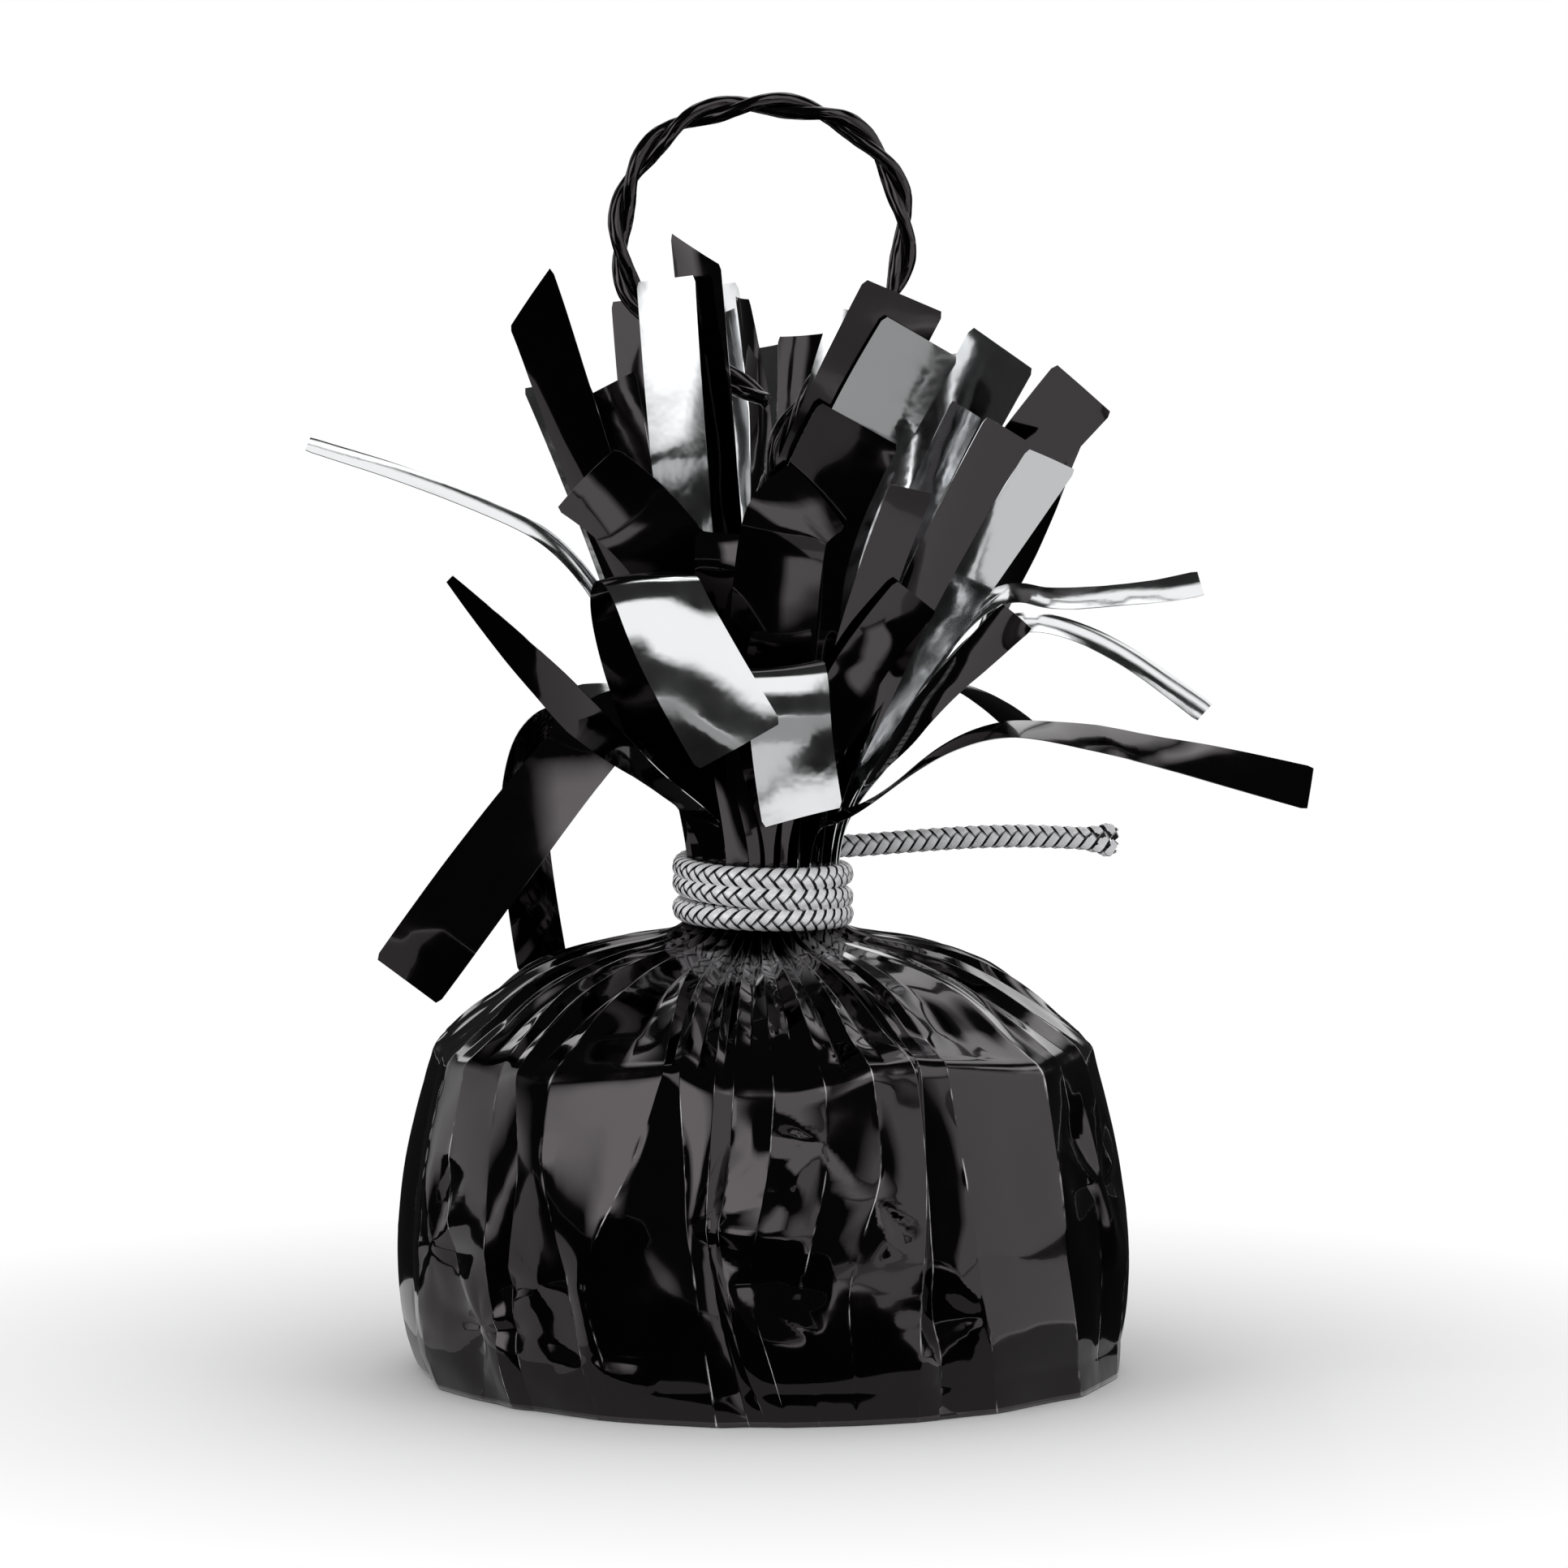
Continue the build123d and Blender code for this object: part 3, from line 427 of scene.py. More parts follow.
faces = grid_faces(len(NECK_RINGS), around, True)
top = len(vertices) - around
vertices.append((0, 0, NECK_MIDDLE * MM))
faces += [(top + column, top + (column + 1) % around, len(vertices) - 1) for column in range(around)]
neck = new_piece("film_neck", vertices, faces, film_black)
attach(neck, "base")
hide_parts("neck_gather")


# Tie cord: flat metallic tapes braided over a core that is painted near black, as the shade in the gaps between them,
# and wound three times round the neck. One end comes out from behind it and stands free to the right, cut with heat
# so that its tip is fused flat.
CORD_DIAMETER = 2.1
WOUND_RADIUS = 7.3
WOUND_PITCH = 1.93
WOUND_START = 40.35
WOUND_TURNS = 3
TURN_STEPS = 12
TAIL_ROUTE = [
    (0, 7.05, 46.15), (1.5, 7.05, 46.2), (7.0, 7.05, 46.3), (13.5, 6.6, 46.9), (20.0, 5.9, 47.4), (26.0, 5.0, 47.5),
    (31.6, 4.1, 47.2),
]
# The tapes: how many go each way round, how far along the cord one goes round it, how far in from the cord's surface
# they lie and how far they rise and dip there. Their section has places across it, each with its own rise. A tape
# runs aslant, so its width lies partly round the cord and partly along it.
TAPES = 4
TAPE_PITCH = 4.4
TAPE_WIDTH = 0.72
TAPE_INSET = 0.09
TAPE_LIFT = 0.07
TAPE_SECTION = ((-0.5, -0.03), (0, 0.03), (0.5, -0.03))
WIDTH_ROUND, WIDTH_ALONG = 0.72, 0.68
BRAID_ROW = 0.115
CORE_INSET = 0.2
CORE_CORNERS = 10
CORE_ROW_STEP = 6
# The fused end: over which length it turns flat, and how much wider and thinner it gets.
FLAT_LENGTH, FLAT_EASE = 3.2, 2.6
FLAT_WIDER, FLAT_THINNER = 0.55, 0.72
CLOSING_LENGTH = 0.8
tape_silver, shade = new_finish("braid_silver_tape", {"Metallic": 0.15})
place = shade.make("TexCoord", {}, output="Object")
glint = shade.make("TexNoise", {"Vector": place, "Scale": 1800, "Detail": 2})
# Painted shade: each tape is painted white where it rises over a crossing tape and near black where it dips under one.
raised = shade.make("Attribute", {}, {"attribute_name": "raised"}, output="Fac")
tone = shade.make("ValToRGB", {"Fac": raised}, {"stops": [(0.45, (0.012, 0.012, 0.013)), (0.72, (0.95, 0.95, 0.97))]})
vary(tape_silver, {"Base Color": tone, "Roughness": glint * 0.3 + 0.1})
# Painted shade: the core shows only in the gaps between the tapes, and is painted near black as the shade there.
braid_core, shade = new_finish("braid_core_painted_shade", {"Roughness": 0.6})
place = shade.make("TexCoord", {}, output="Object")
yarn = shade.make("TexNoise", {"Vector": place, "Scale": 1500, "Detail": 2})
tone = shade.make("ValToRGB", {"Fac": yarn}, {"stops": [(0.3, (0.008, 0.008, 0.008)), (0.8, (0.03, 0.03, 0.03))]})
vary(braid_core, {"Base Color": tone})


def spline_points(route, steps):
    """Points along the smooth line that a route's points pull towards them, read from a NURBS spline."""
    curve = bpy.data.curves.new("route", "CURVE")
    curve.dimensions = "3D"
    curve.resolution_u = steps
    spline = curve.splines.new("NURBS")
    spline.points.add(len(route) - 1)
    for point, (x, y, z) in zip(spline.points, route):
        point.co = (x * MM, y * MM, z * MM, 1)
    spline.order_u = 3
    spline.use_endpoint_u = True
    carrier = bpy.data.objects.new("route", curve)
    bpy.context.collection.objects.link(carrier)
    line = bpy.data.meshes.new_from_object(carrier)
    points = np.array([vertex.co[:] for vertex in line.vertices])
    bpy.data.objects.remove(carrier)
    bpy.data.curves.remove(curve)
    bpy.data.meshes.remove(line)
    return points


def evenly(points, count):
    """That many points at even distances along a line, with the line's length."""
    runs = np.linalg.norm(np.diff(points, axis=0), axis=1)
    reach = np.concatenate([[0], np.cumsum(runs)])
    stations = np.linspace(0, reach[-1], count)
    return np.stack([np.interp(stations, reach, points[:, axis]) for axis in range(3)], axis=1), reach[-1]


def travelling_frame(points, first_side):
    """Directions along and across a line, carried forward without twist."""
    along = np.gradient(points, axis=0)
    along /= np.linalg.norm(along, axis=1)[:, None]
    side = np.array(first_side, float)
    sides = []
    for direction in along:
        side = side - direction * side.dot(direction)
        side = side / np.linalg.norm(side)
        sides.append(side)
    sides = np.array(sides)
    return along, sides, np.cross(along, sides)


def tube(points, radius, sides, ups, corners):
    """Rings of points round a line, from its directions across."""
    turn = 2 * math.pi * np.arange(corners) / corners
    ring = np.cos(turn)[None, :, None] * sides[:, None] + np.sin(turn)[None, :, None] * ups[:, None]
    return points[:, None] + ring * np.reshape(radius, (-1, 1, 1))


def braid(name, route, flat_end):
    """A braided cord along a route: two sets of tapes that pass over and under each other, on a core."""
    line = spline_points(route, steps=16)
    _, length = evenly(line, 2)
    points, _ = evenly(line, int(length / (BRAID_ROW * MM)))
    along, sides, ups = travelling_frame(points, (0, 0, 1))
    distance = np.linspace(0, length / MM, len(points))
    to_end = distance - distance[-1]
    flatten = np.clip((to_end + FLAT_LENGTH) / FLAT_EASE, 0, 1) ** 1.5 * float(flat_end)
    closing = np.clip((to_end + CLOSING_LENGTH) / CLOSING_LENGTH, 0, 1) ** 2 * float(flat_end)
    wide = (1 + FLAT_WIDER * flatten)[:, None]
    thin = (1 - FLAT_THINNER * flatten)[:, None]
    vertices = []
    faces = []
    raised = []
    for direction in (1, -1):
        for tape in range(TAPES):
            crossing = 2 * tape + direction * 2 * TAPES * distance / TAPE_PITCH
            lift = TAPE_LIFT * np.clip(1.6 * np.cos(math.pi * (crossing - 0.5) / 2) * direction, -1, 1)
            turn = direction * 2 * math.pi * distance / TAPE_PITCH + 2 * math.pi * tape / TAPES
            reach = (CORD_DIAMETER / 2 - TAPE_INSET + lift) * (1 - 0.3 * closing)
            start = len(vertices)
            for edge, rise in TAPE_SECTION:
                lean = turn + direction * edge * TAPE_WIDTH / (CORD_DIAMETER / 2) * WIDTH_ROUND
                slide = -edge * TAPE_WIDTH * WIDTH_ALONG
                centre = points + along * slide * MM
                offset = np.cos(lean)[:, None] * sides * wide + np.sin(lean)[:, None] * ups * thin
                vertices.extend((centre + offset * ((reach + rise) * MM)[:, None]).tolist())
                # How far each point rises, which sets the tape's painted shade.
                raised.extend(np.clip(0.5 + lift / (2 * TAPE_LIFT), 0, 1).tolist())
            count = len(points)
            for column in range(len(TAPE_SECTION) - 1):
                left = start + column * count
                right = left + count
                for row in range(count - 1):
                    quad = (left + row, right + row, right + row + 1, left + row + 1)
                    faces.append(quad if direction > 0 else quad[::-1])
    every = slice(None, None, CORE_ROW_STEP)
    core_points = points[every]
    core_radius = (CORD_DIAMETER / 2 - CORE_INSET) * MM
    core = tube(core_points, core_radius, (sides * wide)[every], (ups * thin)[every], CORE_CORNERS)
    core_start = len(vertices)
    vertices.extend(core.reshape(-1, 3).tolist())
    core_faces = grid_faces(len(core_points), CORE_CORNERS, True)
    tape_faces = len(faces)
    faces.extend(tuple(core_start + corner for corner in face) for face in core_faces)
    piece = new_piece(name, vertices, faces, tape_silver, braid_core)
    raised += [0.0] * (len(vertices) - len(raised))
    piece.data.attributes.new("raised", "FLOAT", "POINT").data.foreach_set("value", raised)
    for face in piece.data.polygons[tape_faces:]:
        face.material_index = 1
    return piece, core_points, length


wound_route = []
for step in range(WOUND_TURNS * TURN_STEPS + 1):
    turn = math.pi / 2 - 2 * math.pi * step / TURN_STEPS
    sway = 0.25 * math.sin(0.31 * step + 1)
    height = WOUND_START + WOUND_PITCH * step / TURN_STEPS + sway
    wound_route.append((WOUND_RADIUS * math.cos(turn), WOUND_RADIUS * math.sin(turn), height))
wound, _, _ = braid("tie_braid_wound", wound_route, False)
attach(wound, "base")
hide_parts("tie_winding")
tail, tail_line, tail_length = braid("tie_braid_tail", TAIL_ROUTE, True)
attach(tail, "base")
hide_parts("tie_tail")


# Fringe: the film above the tie, slit into strips with a blade before it was gathered. Each strip keeps its black and
# its silver face; some stand, some fold over and some spring out to the sides.
FILM_THICKNESS = 0.07
NECK_TOP = 50.0
OUTER, MIDDLE, INNER = 6.6, 4.8, 3.0
# Name, ring, bearing, route, width, twist, and whether the silver face is the outer one.
FRINGE = [
    ("strip_front_fold_high", OUTER, 320,
     [(-8, -8, 57.5), (-11.5, -9, 70), (-10, -16, 74), (-7, -19, 66.5), (-2, -19, 58)], 8.4, 75, False),
    ("strip_front_left_arch", OUTER, 342, [(-2.5, -9.5, 61.5), (-3.8, -12.5, 74), (-3.3, -11, 76)], 5, 0, False),
    ("strip_front_arch", OUTER, 0,
     [(0.5, -10.5, 61.5), (1.5, -15, 76), (3, -13.5, 78.5), (5, -12, 79.5)], 7.6, 0, False),
    ("strip_front_fold_low", OUTER, 12,
     [(1.5, -11, 55), (1.2, -12.8, 62.2), (1.6, -14.8, 65.2), (2.2, -17, 64), (2.5, -17.3, 57.5), (3.5, -16, 51.5)],
     7.2, 10, False),
    ("strip_front_flag", OUTER, 23, [(5.5, -9.5, 58.5), (9.5, -11.5, 66), (13.5, -11.5, 70.5)], 4.6, -25, False),
    ("strip_front_right", OUTER, 37, [(7, -9, 61.5), (9.5, -12, 71), (13, -12, 80)], 4, -25, False),
    ("strip_front_left", MIDDLE, 337.5, [(-4.5, -6.5, 61.5), (-7, -9, 75), (-15.5, -12, 81)], 7.6, 25, False),
    ("strip_centre_front", MIDDLE, 0, [(2.5, -8.5, 64), (3.5, -9, 76.5), (8.5, -9, 85.5)], 8, 0, False),
    ("strip_centre_pale", MIDDLE, 22.5, [(3, -6, 65.5), (6.5, -7, 81), (14, -6.5, 93)], 7.6, -20, True),
    ("strip_centre_tall", INNER, 0, [(1, -4.5, 65), (3.5, -5, 79.5), (12.5, -4.5, 96.5)], 7.6, 0, False),
    ("strip_centre_inner", INNER, 45, [(1, -2.5, 65), (4.5, -3, 82.5), (8, -2.5, 95)], 4.6, -85, True),
    ("strip_centre_highest", INNER, 315, [(-3, -2.5, 65), (-4.5, -3, 85), (-6, -2, 100.5)], 4.4, 26, False),
    ("strip_centre_edge_on", INNER, 180, [(-0.5, 7, 64), (0.5, 14, 81), (-2, 18, 95)], 3.6, 70, True),
    ("strip_left_tall", OUTER, 291, [(-8.5, -3, 60.5), (-14, -5.5, 77), (-20.5, -7, 96.5)], 5.6, 50, False),
    ("strip_left_short", MIDDLE, 290, [(-8.5, -0.5, 65), (-11.5, -1, 78), (-13.5, -1, 88.5)], 5.2, 50, False),
    ("strip_left_pale", MIDDLE, 315, [(-5.5, -5, 65), (-7.5, -6.5, 82.5), (-8.5, -4.5, 98)], 5.6, 24, True),
    ("strip_left_rear", MIDDLE, 225, [(-7.5, 8, 64), (-10.5, 13, 81), (-11.5, 17, 95)], 4.5, -40, True),
    ("strip_right_near", OUTER, 60, [(8.5, -5.5, 59), (15, -7.5, 73.5), (21.5, -8.5, 85)], 5, -40, False),
    ("strip_right_pale", OUTER, 72, [(10.5, -2, 57.5), (17.5, -2.5, 70), (25.5, -3, 82)], 5.4, -45, True),
    ("strip_right_low", OUTER, 84, [(11, -1, 55), (15.5, -1.5, 61.5), (22.5, -2, 68)], 4.4, -55, False),
    ("strip_right_narrow", MIDDLE, 60, [(7, -4, 63), (12.5, -5, 75.5), (18, -5, 86.5)], 3.4, -40, True),
    ("strip_right_tall", MIDDLE, 90, [(9, 2, 62.5), (19, 2.5, 77), (28.5, 1, 88)], 7.2, -70, False),
    ("strip_right_edge", OUTER, 108, [(12.5, 5, 55.5), (21.5, 7.5, 67), (27, 8, 84)], 5.6, -60, False),
    ("strip_right_rear", MIDDLE, 135, [(7.5, 7, 64), (14.5, 9, 78.5), (21.5, 10, 91)], 6.8, 40, False),
    ("strip_back_right", OUTER, 132, [(10.5, 9.5, 62), (15.5, 15, 78), (18, 18.5, 90)], 6, 0, False),
    ("strip_back_right_tall", OUTER, 156, [(6.5, 11, 64), (9.5, 19, 80), (10.5, 25, 92)], 6.4, 10, False),
    ("strip_back_middle", MIDDLE, 157.5, [(1.5, 10, 64), (3.5, 16, 78), (3.5, 20, 91.5)], 4.4, 30, True),
    ("strip_back_tall", OUTER, 168, [(0.5, 12.5, 63), (0.5, 20.5, 78), (0, 28, 90)], 6.4, -10, False),
    ("strip_back_inner", MIDDLE, 180, [(-0.5, 9, 66), (-2, 16, 82), (-5, 20, 96)], 5.6, 15, False),
    ("strip_back_left_tall", OUTER, 192, [(-6, 12, 62), (-8.5, 20, 76), (-10, 28, 86)], 6.4, 10, False),
    ("strip_back_left", OUTER, 206, [(-9, 10, 62), (-14, 17, 76), (-19, 23, 87)], 6, -10, False),
    ("stray_right_low", OUTER, 48, [(8.5, -8, 51), (17, -9, 58), (26, -8, 59), (48.5, -6, 53)], 4.8, 70, True),
    ("stray_right_high", OUTER, 96,
     [(11.5, 1.5, 57.5), (20, 1.5, 70.5), (28, 1.5, 68.5), (39, 1, 70.5)], 4.5, 20, False),
    ("stray_right_middle", OUTER, 120,
     [(12.5, 10, 56), (21, 14.5, 67), (31, 14.5, 65), (40, 13, 58)], 4.5, 15, False),
    ("stray_back_right", OUTER, 144, [(9, 13, 56), (18, 22, 62), (25, 29, 54)], 5.6, 0, False),
    ("stray_back", OUTER, 180, [(-2, 14, 57), (-3, 26, 64), (-4, 33, 54)], 6, 0, False),
    ("stray_left_hanging", OUTER, 228,
     [(-8, 7, 51), (-17.5, 11, 60), (-23, 13, 52), (-20, 15, 34.5)], 4.6, 70, False),
    ("stray_left_high", OUTER, 252, [(-9.5, 4, 57), (-15, 5, 71.5), (-24.5, 4, 78), (-40.5, 3, 83)], 4.5, 5, False),
    ("stray_left_nib", OUTER, 264, [(-6.5, 0.5, 53), (-10, -0.5, 61.5), (-16.5, -1, 60.5)], 3.4, -25, False),
    ("stray_left_drooping", OUTER, 274,
     [(-7, -3, 51.5), (-11, -4.5, 61), (-18.5, -6, 54), (-31.5, -8, 36)], 7, -70, True),
    ("stray_left_front", OUTER, 305,
     [(-5.6, -8.2, 51), (-13, -12, 57), (-19, -12, 63), (-27.5, -11, 72)], 5.6, 80, False),
]
# Each strip starts narrow inside the neck, turned a little so that it laps the next, and spreads to its own width. A
# stray strip has two places on its bearing, each with a radius and a height, which are worked out but not used.
ROOT_WIDTH = 2.6
ROOT_BOTTOM = 45.8
ROOT_INSET = 0.94
ROOT_LAP = 22
ROOT_FLAT = 6
ROOT_BEND = [(6.5, 49.6), (9.0, 50.8)]
SPREAD = 14.0
COLUMNS = 9
STRIP_ROW = 0.55
# Strips cut aslant at the tip: how much longer the right edge is than the left, for each millimetre of width.
SLANTS = {"strip_left_tall": 0.75, "strip_centre_highest": -0.75, "strip_left_short": 0.3}
CUT_REACH = 6
# How far from the tip a strip starts to narrow, and the share of its width that it loses.
BLUNT = (0.5, 0.07)
POINTED = {"stray_left_front": (17.0, 0.85)}
KINKS = 3
KINK_REACH = 4
SHARP_ANGLE = math.radians(40)
for number, (name, ring, bearing, route, width, twist, silver_out) in enumerate(FRINGE):
    turn = math.radians(bearing)
    root = (ring * math.sin(turn), -ring * math.cos(turn), NECK_TOP)
    line = spline_points([(ROOT_INSET * root[0], ROOT_INSET * root[1], ROOT_BOTTOM), root, *route], steps=24)
    _, length = evenly(line, 2)
    count = int(length / MM / STRIP_ROW)
    points, _ = evenly(line, count)
    along, sides, _ = travelling_frame(points, (math.cos(turn), math.sin(turn), 0))
    share = np.linspace(0, 1, count)
    distance = share * length / MM
    to_tip = distance - distance[-1]
    spread = np.clip(distance / min(SPREAD, 0.5 * length / MM), 0, 1)
    spread = spread**2 * (3 - 2 * spread)
    roll = np.radians(twist * share + ROOT_LAP * (1 - spread))
    across = sides * np.cos(roll)[:, None] + np.cross(along, sides) * np.sin(roll)[:, None]
    face = np.cross(across, along)
    half = 0.5 * (ROOT_WIDTH + (width - ROOT_WIDTH) * spread)
    taper, loss = POINTED.get(name, BLUNT)
    half *= 1 - loss * np.clip((to_tip + taper) / taper, 0, 1)
    chance = np.random.default_rng(100 + number)
    curl = chance.uniform(-0.14, 0.14)
    slant = 0.5 * SLANTS.get(name, chance.uniform(-0.12, 0.12)) * np.sign(across[-1, 0])
    cut = half * slant * np.clip((to_tip + CUT_REACH) / CUT_REACH, 0, 1)
    kinks = [
        (chance.uniform(0.3, 0.95) * distance[-1], chance.uniform(-0.8, 0.8), chance.uniform(-0.16, 0.16))
        for _ in range(KINKS)
    ]
    grid = []
    for column in range(COLUMNS):
        aside = 2 * column / (COLUMNS - 1) - 1
        lift = curl * half * (aside**2 - 0.33)
        lift += 0.08 * np.array([noise.noise(Vector((0.16 * d, 0.5 * aside, 7.3 * number))) for d in distance])
        for at, lean, height in kinks:
            lift += height * np.clip(1 - np.abs(distance - at - lean * aside * half) / KINK_REACH, 0, 1)
        lift *= np.clip(distance / ROOT_FLAT, 0, 1)
        offset = across * (aside * half)[:, None] + face * lift[:, None] + along * (aside * 2 * cut)[:, None]
        grid.append(points + offset * MM)
    vertices = np.stack(grid, axis=1).reshape(-1, 3)
    finishes = (film_silver, film_black) if silver_out else (film_black, film_silver)
    strip = new_piece(name + "_film", vertices, grid_faces(count, COLUMNS, False), *finishes)
    bpy.context.view_layer.objects.active = strip
    solid = strip.modifiers.new("film", "SOLIDIFY")
    solid.thickness = FILM_THICKNESS * MM
    solid.offset = 0
    solid.material_offset = 1
    solid.material_offset_rim = 0 if silver_out else 1
    bpy.ops.object.modifier_apply(modifier=solid.name)
    strip.select_set(True)
    bpy.ops.object.shade_smooth_by_angle(angle=SHARP_ANGLE)
    strip.select_set(False)
    if name.startswith("stray"):
        # The root stays in the neck. The two places are worked out but not used, and the strip is not attached to a
        # body.
        start, end = (
            (radius * math.sin(turn) * MM, -radius * math.cos(turn) * MM, height * MM) for radius, height in ROOT_BEND
        )
        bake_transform(strip)
    else:
        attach(strip, "base")
    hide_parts(name)


# Hanging loop: two strands of rolled film laid together into a stiff rope. It rises out of the fringe, goes round
# the loop and ends, cut and a little frayed, beside its own stem.
STRAND_RADIUS = 0.61
LAY_RADIUS = 0.55
LAY_LENGTH = 12.9
LAY_START = 0.6
ROPE_ROWS = 700
CORNERS = 22
LOOP_ROUTE = [
    (0.0, 0.0, 50.4), (0.3, 0.0, 61.0), (0.0, 0.0, 72.0), (0.5, 0.0, 81.0), (3.6, 0.0, 87.4), (9.2, 0.0, 92.4),
    (12.7, 0.0, 98.6), (12.4, 0.0, 105.8), (8.5, 0.0, 111.3), (2.8, 0.0, 113.2), (-2.8, 0.0, 113.2),
    (-8.5, 0.0, 111.3), (-12.5, 0.0, 105.8), (-12.8, 0.0, 98.6), (-10.0, 0.0, 93.2), (-4.8, -0.4, 90.0),
    (0.4, -1.8, 87.0),
]


def wrinkle(turn, distance, strand):
    """How far the rolled film rises at a place on a strand, as a share of the strand's radius."""
    spot = Vector((1.7 * math.cos(turn), 1.7 * math.sin(turn), 0.16 * distance + 40 * strand))
    return 0.02 * math.cos(5 * turn + 0.25 * distance) + 0.06 * noise.noise(spot)


line = spline_points(LOOP_ROUTE, steps=24)
_, loop_length = evenly(line, 2)
points, _ = evenly(line, ROPE_ROWS)
along, sides, ups = travelling_frame(points, (1, 0, 0))
distance = np.linspace(0, loop_length / MM, len(points))
turn = 2 * math.pi * np.arange(CORNERS) / CORNERS
vertices = []
faces = []
for strand in (0, 1):
    lay = -2 * math.pi * distance / LAY_LENGTH + math.pi * strand + LAY_START
    centre = points + (np.cos(lay)[:, None] * sides + np.sin(lay)[:, None] * ups) * LAY_RADIUS * MM
    wrinkles = np.array([[wrinkle(corner, reach, strand) for corner in turn] for reach in distance])
    angle = turn[None, :] + lay[:, None]
    ring = np.cos(angle)[..., None] * sides[:, None] + np.sin(angle)[..., None] * ups[:, None]
    surface = centre[:, None] + ring * (STRAND_RADIUS * (1 + wrinkles) * MM)[..., None]
    start = len(vertices)
    vertices.extend(surface.reshape(-1, 3).tolist())
    faces.extend(tuple(start + corner for corner in face) for face in grid_faces(ROPE_ROWS, CORNERS, True))
    faces.append(tuple(start + corner for corner in range(CORNERS))[::-1])
    faces.append(tuple(start + (ROPE_ROWS - 1) * CORNERS + corner for corner in range(CORNERS)))
rope = new_piece("loop_film_rope", vertices, faces, film_black)
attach(rope, "hanging_loop")
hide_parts("hanging_loop")


# Studio: a white table in a dark room, with a white backdrop high up behind it. Three soft boxes light the object, and
# white cards and strip lights stand round it. Velvet and grey cards lie on the table, which keeps the film black; only
# the film shows them. Away from the object, the table itself shows plain white. These sizes are in metres.
TABLE_SIZE = 24
WHITE_FROM, WHITE_TO = 0.038, 0.1
table_top, shade = new_finish("white_table", {"Roughness": 0.8, "Specular IOR Level": 0.1})
place = shade.make("TexCoord", {}, output="Object")
away = shade.make("VectorMath", {0: place}, {"operation": "LENGTH"}, output="Value")
tone = shade.make("ValToRGB", {"Fac": away}, {"stops": [(0.0, (0.9, 0.9, 0.9)), (1.0, (0.93, 0.93, 0.93))]})
vary(table_top, {"Base Color": tone})
tree = table_top.node_tree
path = tree.nodes.new("ShaderNodeLightPath")
seen = Shade(tree, path.outputs["Is Camera Ray"]) + Shade(tree, path.outputs["Is Glossy Ray"])
seen = seen + Shade(tree, path.outputs["Is Transmission Ray"])
glow = shade.make("Emission", {"Strength": 1.0})
mixed = shade.make("MixShader", {
    0: away.between(WHITE_FROM, WHITE_TO) * seen,
    1: Shade(tree, tree.nodes["Principled BSDF"].outputs[0]),
    2: glow,
})
tree.links.new(mixed.socket, tree.nodes["Material Output"].inputs["Surface"])
bpy.ops.mesh.primitive_plane_add(size=TABLE_SIZE)
table = bpy.context.object
table.name = "table"
table.data.materials.append(table_top)

# The room: plain white to the camera, an even fill for the light that spreads, and dark in reflections but for the
# backdrop.
ROOM_FILL = 0.75
ROOM_DARK = 0.02
world = bpy.data.worlds.new("studio")
bpy.context.scene.world = world
world.use_nodes = True
tree = world.node_tree
room = Shade(tree)
path = tree.nodes.new("ShaderNodeLightPath")
toward = room.make("TexCoord", {}, output="Generated")
axes = tree.nodes.new("ShaderNodeSeparateXYZ")
tree.links.new(toward.socket, axes.inputs[0])
aside = Shade(tree, axes.outputs["X"])
backdrop = Shade(tree, axes.outputs["Y"]).between(0.5, 0.6) * Shade(tree, axes.outputs["Z"]).between(0.46, 0.56)
backdrop = backdrop * aside.between(-0.42, -0.34) * (1 - aside.between(0.55, 0.62))
seen = Shade(tree, path.outputs["Is Camera Ray"])
mirrored = Shade(tree, path.outputs["Is Glossy Ray"]) + Shade(tree, path.outputs["Is Transmission Ray"])
level = seen + (1 - seen) * (mirrored * (ROOM_DARK + (1 - ROOM_DARK) * backdrop) + (1 - mirrored) * ROOM_FILL)
tree.links.new(level.socket, tree.nodes["Background"].inputs["Strength"])
tree.nodes["Background"].inputs["Color"].default_value = (1, 1, 1, 1)


STAND_MIDDLE = Vector((0, 0, 0.05))


def stand_at(thing, bearing, lift, away):
    """Set a lamp or card on its stand, turned to the middle of the object."""
    turn, rise = math.radians(bearing), math.radians(lift)
    spot = Vector((math.sin(turn) * math.cos(rise), -math.cos(turn) * math.cos(rise), math.sin(rise))) * away
    thing.location = spot + STAND_MIDDLE
    thing.rotation_mode = "QUATERNION"
    thing.rotation_quaternion = (-spot).to_track_quat("-Z", "Y")
    thing.visible_camera = False


def card(name, width, height, level, soft):
    """A card that shows only in the film's reflections, at a given brightness, darker towards its edges if soft."""
    paint = bpy.data.materials.new(name)
    paint.use_nodes = True
    tree = paint.node_tree
    shade = Shade(tree)
    bright = level
    if soft:
        axes = tree.nodes.new("ShaderNodeSeparateXYZ")
        tree.links.new(shade.make("TexCoord", {}, output="UV").socket, axes.inputs[0])
        for axis in ("X", "Y"):
            edge = Shade(tree, axes.outputs[axis])
            bright = bright * (edge.between(0, soft) * (1 - edge).between(0, soft))
    glow = shade.make("Emission", {"Strength": bright})
    tree.links.new(glow.socket, tree.nodes["Material Output"].inputs["Surface"])
    bpy.ops.mesh.primitive_plane_add(size=1)
    sheet = bpy.context.object
    sheet.name = name
    sheet.scale = (width, height, 1)
    sheet.data.materials.append(paint)
    sheet.visible_camera = False
    sheet.visible_diffuse = False
    sheet.visible_shadow = False
    return sheet


FRONT_SCALE = 1.2
FRONT_SOFT = 0.25


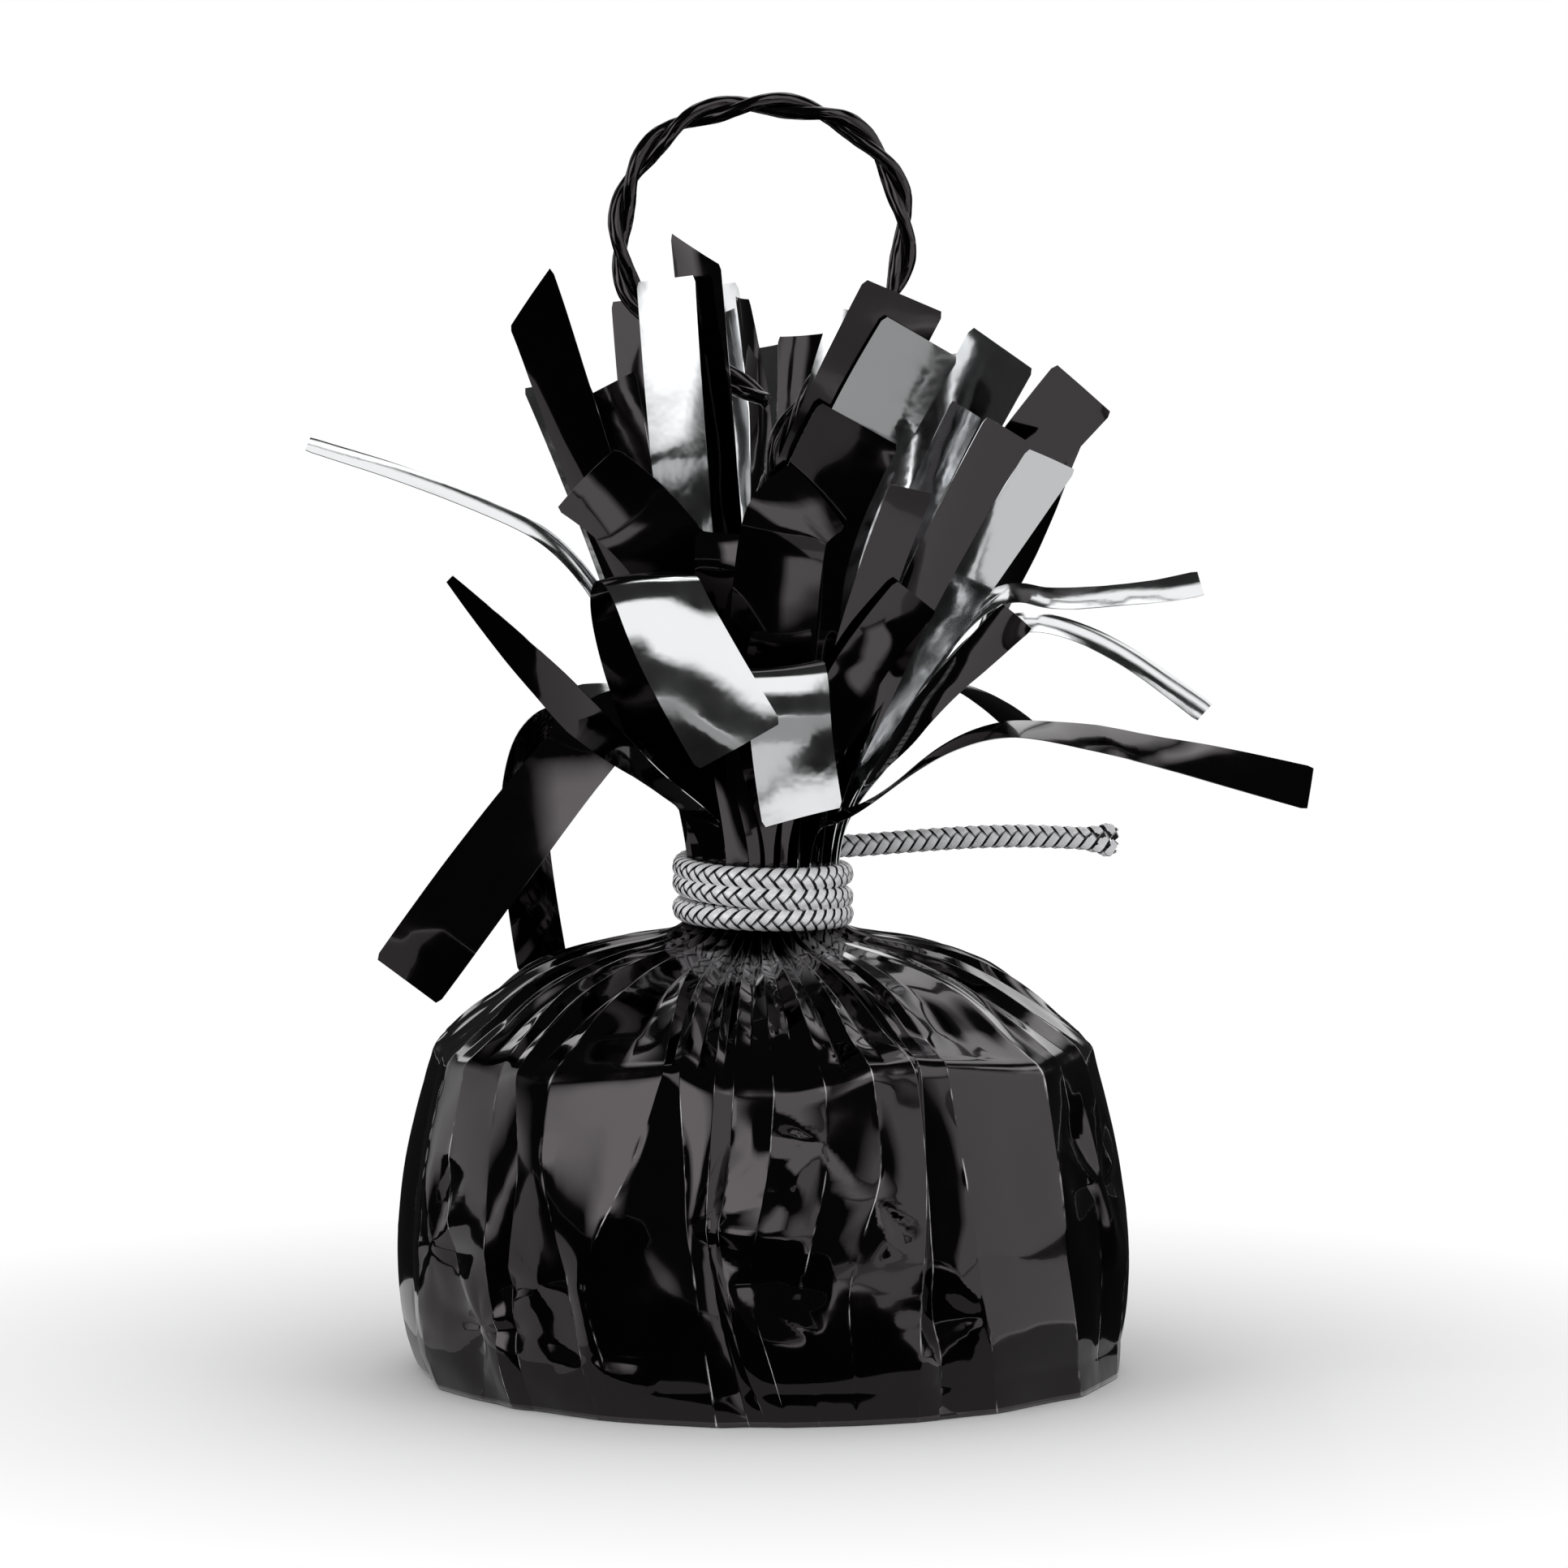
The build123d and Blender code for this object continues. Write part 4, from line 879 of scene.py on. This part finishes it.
def soft_box(name, bearing, lift, away, width, height, level):
    """A soft box at a given brightness. The film shows its white front, which darkens towards the edges."""
    lamp = bpy.data.lights.new(name, "AREA")
    lamp.shape = "RECTANGLE"
    lamp.size = width
    lamp.size_y = height
    lamp.energy = level * math.pi * width * height
    box = bpy.data.objects.new(name, lamp)
    bpy.context.collection.objects.link(box)
    stand_at(box, bearing, lift, away)
    box.visible_glossy = False
    front = card(name + "_front", FRONT_SCALE * width, FRONT_SCALE * height, level, FRONT_SOFT)
    stand_at(front, bearing, lift, away)


soft_box("soft_box_left", -50, 18, 0.8, 0.42, 0.62, 1.5)
soft_box("soft_box_right", 56, 22, 0.8, 0.3, 0.5, 1.2)
soft_box("soft_box_top", 150, 66, 0.9, 0.3, 0.3, 1.6)
# Cards on stands: name, width, height, brightness and softness, then bearing, lift and distance.
STANDING = [
    ("white_card_left", 0.8, 0.7, 0.55, 0.3, -118, 10, 0.7),
    ("white_card_right", 1.2, 0.8, 0.65, 0.15, 68, 10, 0.65),
    ("white_card_high", 0.45, 0.5, 1.0, 0.15, 26, 38, 0.62),
    ("white_card_back", 0.28, 0.28, 1.0, 0.2, 157, 16, 0.8),
    ("strip_light_back_left", 0.1, 0.6, 1.2, 0.2, -152, 24, 0.8),
    ("strip_light_back", 0.1, 0.6, 1.2, 0.2, 176, 24, 0.8),
    ("strip_light_back_right", 0.1, 0.5, 1.2, 0.2, 118, 34, 0.8),
]
for name, width, height, level, soft, bearing, lift, away in STANDING:
    stand_at(card(name, width, height, level, soft), bearing, lift, away)
# Cards on the table: name, width, depth, brightness and softness, then the place of the middle.
LYING = [
    ("velvet_front", 6.05, 6, 0.01, 0, (-2.975, -3.036, 0.001)),
    ("velvet_back", 12, 6, 0.01, 0, (0, 3.036, 0.001)),
    ("velvet_right", 6, 0.036, 0.01, 0, (3.036, 0.018, 0.001)),
    ("grey_card_right", 6, 6, 0.6, 0, (3.05, -3, 0.001)),
    ("grey_card_left", 6, 0.072, 0.4, 0, (-3.036, 0, 0.001)),
    ("grey_card_far", 0.6, 3, 0.3, 0, (0.35, -1.72, 0.002)),
    ("white_card_near", 0.05, 0.06, 0.9, 0.2, (0.03, -0.12, 0.003)),
    ("grey_card_under", 0.1, 0.1, 0.2, 0, (0, 0, 0.0005)),
]
for name, width, depth, level, soft, spot in LYING:
    card(name, width, depth, level, soft).location = spot


# Camera: a long lens a little above the object, at the photograph's framing.
CAMERA_RISE = math.radians(6)
CAMERA_DISTANCE = 0.9
AIM = Vector((1.88, 0, 52.72)) * MM
SENSOR_WIDTH = 36
FOCAL_PIXELS = 12444.6
PICTURE_PIXELS = 1932
lens = bpy.data.cameras.new("camera")
lens.sensor_width = SENSOR_WIDTH
lens.lens = SENSOR_WIDTH * FOCAL_PIXELS / PICTURE_PIXELS
lens.clip_start = 0.01
camera = bpy.data.objects.new("camera", lens)
bpy.context.collection.objects.link(camera)
sight = Vector((0, math.cos(CAMERA_RISE), -math.sin(CAMERA_RISE)))
camera.location = AIM - sight * CAMERA_DISTANCE
camera.rotation_mode = "QUATERNION"
camera.rotation_quaternion = sight.to_track_quat("-Z", "Y")
bpy.context.scene.camera = camera
bpy.context.scene.view_settings.view_transform = "Standard"
